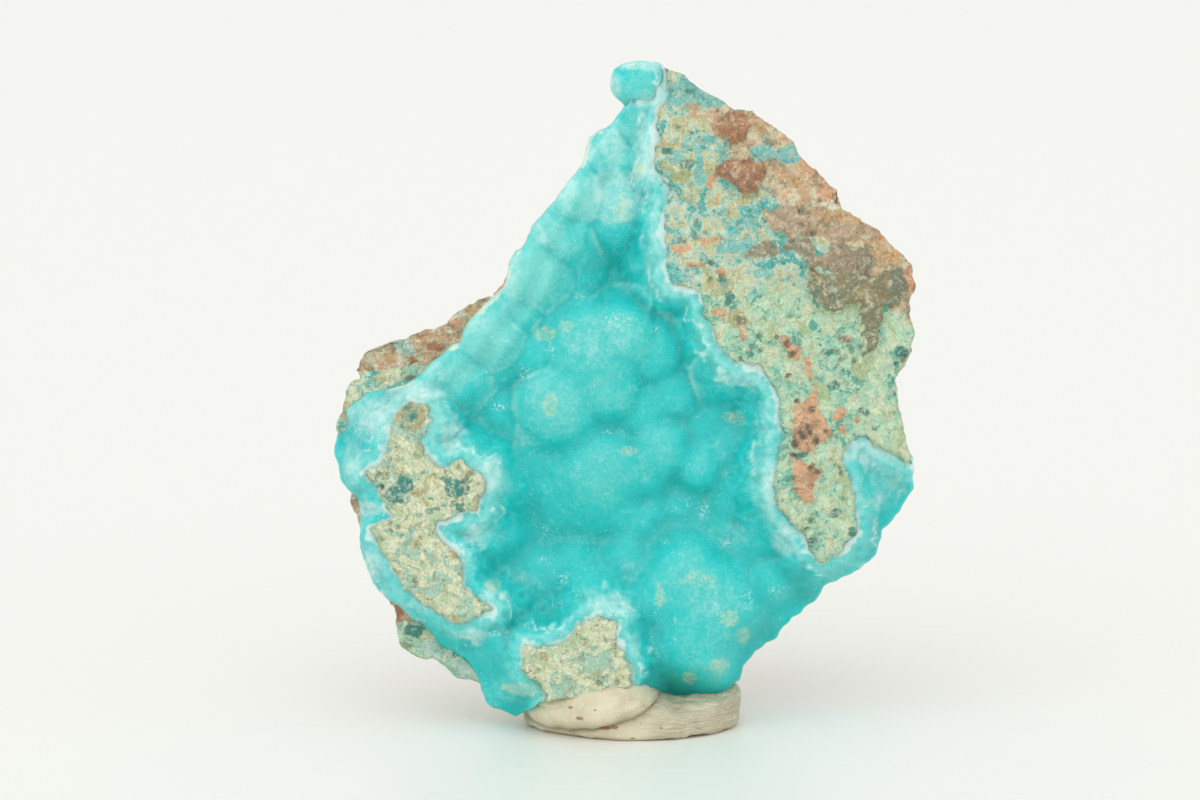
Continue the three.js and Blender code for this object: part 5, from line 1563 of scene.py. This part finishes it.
def zones_of_rock(g, noises):
    """The mixtures, each in its painted zone."""
    cool, green, warm, granular, outside = (mixture(g, noises, name) for name in MIXTURES)
    face = g.mix(cool, green, torn(g, "green", 2.5, 0.9, 0.2))
    face = g.mix(face, warm, torn(g, "warm", 1.6, 1.3))
    face = g.mix(face, granular, g.painted("granular"))
    outside = g.mix(outside, green, g.painted("foot"))
    fresh = g.mix(cool, granular, g.range(noises["patches"], 0.46, 0.5))
    outside = g.mix(outside, fresh, torn(g, "low_ledge", 0.9, 1.0))
    return g.mix(outside, face, torn(g, "on_face", 0.8, 0.4, 0.1))


def marks_of_rock(g, noises):
    """The colours of the painted marks, with grains of their own."""
    painted = g.painted_colour("stain")
    brown = grains_over(g, painted, noises, BROWN_GRAINS)
    green = grains_over(g, painted, noises, GREEN_GRAINS)
    return g.mix(green, brown, g.painted("earthy"))


def matrix_material():
    material, g, surface = new_material("matrix", Specular_IOR_Level=0.3)
    large = grain(g, 3.0, 8.0, Twist=0.4, Crispness=0.7)
    patches = grain(g, 1.7, 8.0, Twist=0.4, Seed=7.0, Crispness=0.72)
    crumbs = grain(g, 0.7, 6.0, Twist=0.3, Seed=3.0, Crispness=0.7)
    fine = grain(g, 0.22)
    noises = {"large": large, "patches": patches, "crumbs": crumbs, "fine": fine}
    curls, cracks = veins(g, 0.7, 0.05, 1.6), veins(g, 1.3, 0.018, 0.9, 4.0)
    pale_curls = g.times(curls, g.range(patches, 0.42, 0.56, 0.15, 0.8))
    dark_cracks = g.times(cracks, g.range(large, 0.42, 0.56, 0.6, 0.1))
    marked = g.times(torn(g, "stain_cover", 0.5, 1.4, 0.06), 0.94)
    colour = laid_over(g, zones_of_rock(g, noises), [((234, 238, 204), pale_curls)])
    colour = g.mix(colour, marks_of_rock(g, noises), marked)
    colour = laid_over(g, colour, [((96, 118, 88), dark_cracks)])
    colour = grains_over(g, colour, noises, FINE_GRAINS)
    colour = laid_over(g, colour, [
        ((88, 92, 74), g.times(specks(g, 0.6, 0.1, 0.22), 0.5)),
        ((92, 124, 106), g.times(torn(g, "pit", 0.3, 1.6), 0.5)),
    ])
    colour = g.add("Gamma", {"Color": colour, "Gamma": GAMMA})
    height = weighted(g, [(fine, 0.8), (crumbs, 1.8), (patches, 1.2), (curls, 0.25), (cracks, -0.25)])
    finish_surface(g, surface, colour, g.range(fine, 0.2, 0.8, 0.75, 0.95), height, 0.18)
    return material


matrix = matrix_material()

# %% [markdown]
# ## Putty
#
# Handled putty is matt and greyish, stretched into fine strands where it was pulled, and full
# of grit from older specimens. Its crease is painted darker: painted shade under the flap.

# %% Putty material
OFF_WHITES = [  # from the darkest handling marks to the clean putty
    (0.3, linear(198, 187, 158)), (0.5, linear(214, 205, 178)), (0.7, linear(223, 215, 190)),
]


def putty_material():
    material, g, surface = new_material("mounting putty", Specular_IOR_Level=0.35)
    tint, fine = grain(g, 3.0), grain(g, 0.3)
    stretch = g.add("Mapping", {"Vector": places_in_mm(g), "Scale": (0.5, 0.5, 9.0)})
    strands = g.add("TexNoise", {"Vector": stretch, "Scale": 0.8, "Detail": 4.0})
    pulled = g.times(g.painted("strand"), g.range(strands, 0.35, 0.65))
    colour = g.ramp(g.plus(tint, g.range(fine, 0.2, 0.8, -0.08, 0.08)), OFF_WHITES)
    colour = laid_over(g, colour, [
        ((170, 160, 134), g.times(pulled, 0.35)),
        # painted shade in the crease under the flap
        ((140, 122, 92), g.times(g.painted("crease"), 0.55)),
        ((150, 104, 74), g.times(torn(g, "speck", 0.2, 0.9), 0.8)),
        ((130, 100, 76), g.times(specks(g, 1.3, 0.4, 0.1), 0.7)),
    ])
    height = weighted(g, [(pulled, 0.7), (fine, 0.5)])
    finish_surface(g, surface, colour, g.range(fine, 0.2, 0.8, 0.62, 0.78), height, 0.12)
    return material


mounting_putty = putty_material()

# %% Each piece takes its finish and its place
for piece, finish, node, slot in [
    (crust, hemimorphite, "hemimorphite_crust", "crust"),
    (knob, hemimorphite, "hemimorphite_crust", "crust"),
    (rock, matrix, "matrix_rock", "matrix"),
    (putty, mounting_putty, "mounting_putty", "putty"),
]:
    piece.data.materials.append(finish)
    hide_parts(node)
    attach(piece, "root")
    print(piece.name, "stands for", node)

# %% [markdown]
# ## Studio
#
# A pale sheet fills the whole view, so the specimen floats in light. The light is a bright
# surround, with one wide soft light from above the camera's left shoulder and a weaker one
# from beside the camera. That keeps the shadows under the overhang short and pale.

# %% Sheet and light
SHEET_SIZE = 8  # metres, so that no edge of the sheet shows
SURROUND_STRENGTH = 0.86


def make_sheet():
    bpy.ops.mesh.primitive_plane_add(size=SHEET_SIZE, location=(0, 0, 0))
    sheet = bpy.context.object
    sheet.name = "studio_sheet"
    material, _, surface = new_material("sheet", Roughness=0.4, Specular_IOR_Level=0.4)
    surface.inputs["Base Color"].default_value = pigment(241, 242, 237)
    sheet.data.materials.append(material)


def light_the_room():
    world = bpy.data.worlds.new("surround")
    world.use_nodes = True
    background = world.node_tree.nodes["Background"]
    background.inputs["Color"].default_value = (1, 1, 0.985, 1)
    background.inputs["Strength"].default_value = SURROUND_STRENGTH
    bpy.context.scene.world = world


def add_soft_light(name, direction, angle, strength):
    """A wide, far light, like a large soft box: it lights the whole sheet evenly."""
    light = bpy.data.lights.new(name, "SUN")
    light.angle = math.radians(angle)
    light.energy = strength
    lamp = bpy.data.objects.new(name, light)
    lamp.rotation_mode = "QUATERNION"
    lamp.rotation_quaternion = Vector(direction).to_track_quat("-Z", "Y")
    bpy.context.scene.collection.objects.link(lamp)
    print(name, "is", angle, "degrees wide")


make_sheet()
light_the_room()
add_soft_light("soft box above the left shoulder", (0.2, 0.75, -0.9), 60, 0.75)
add_soft_light("bounce card by the camera", (-0.1, 1.0, -0.12), 70, 0.5)

# %% Camera
CAMERA_DISTANCE = 0.5
VIEW_HEIGHT = 0.072  # what the frame spans at the specimen
IMAGE_SIZE = (1200, 800)
SENSOR_WIDTH = 36
MIDDLE_OF_VIEW = np.array([-2.33, -8.55, 30.6]) * MM
TOWARDS_CAMERA = np.array([0, -math.cos(LEAN), math.sin(LEAN)])  # square to the broken face


def set_camera():
    camera = bpy.data.cameras.new("camera")
    camera.sensor_width = SENSOR_WIDTH
    view_width = VIEW_HEIGHT * IMAGE_SIZE[0] / IMAGE_SIZE[1]
    camera.lens = SENSOR_WIDTH * CAMERA_DISTANCE / view_width
    camera.clip_start, camera.clip_end = 0.01, 20
    holder = bpy.data.objects.new("camera", camera)
    holder.location = MIDDLE_OF_VIEW + CAMERA_DISTANCE * TOWARDS_CAMERA
    holder.rotation_euler = (math.pi / 2 - LEAN, 0, 0)
    bpy.context.scene.collection.objects.link(holder)
    bpy.context.scene.camera = holder
    print(f"the camera's lens is {camera.lens:.0f} mm long")


set_camera()
bpy.context.scene.view_settings.view_transform = "Standard"
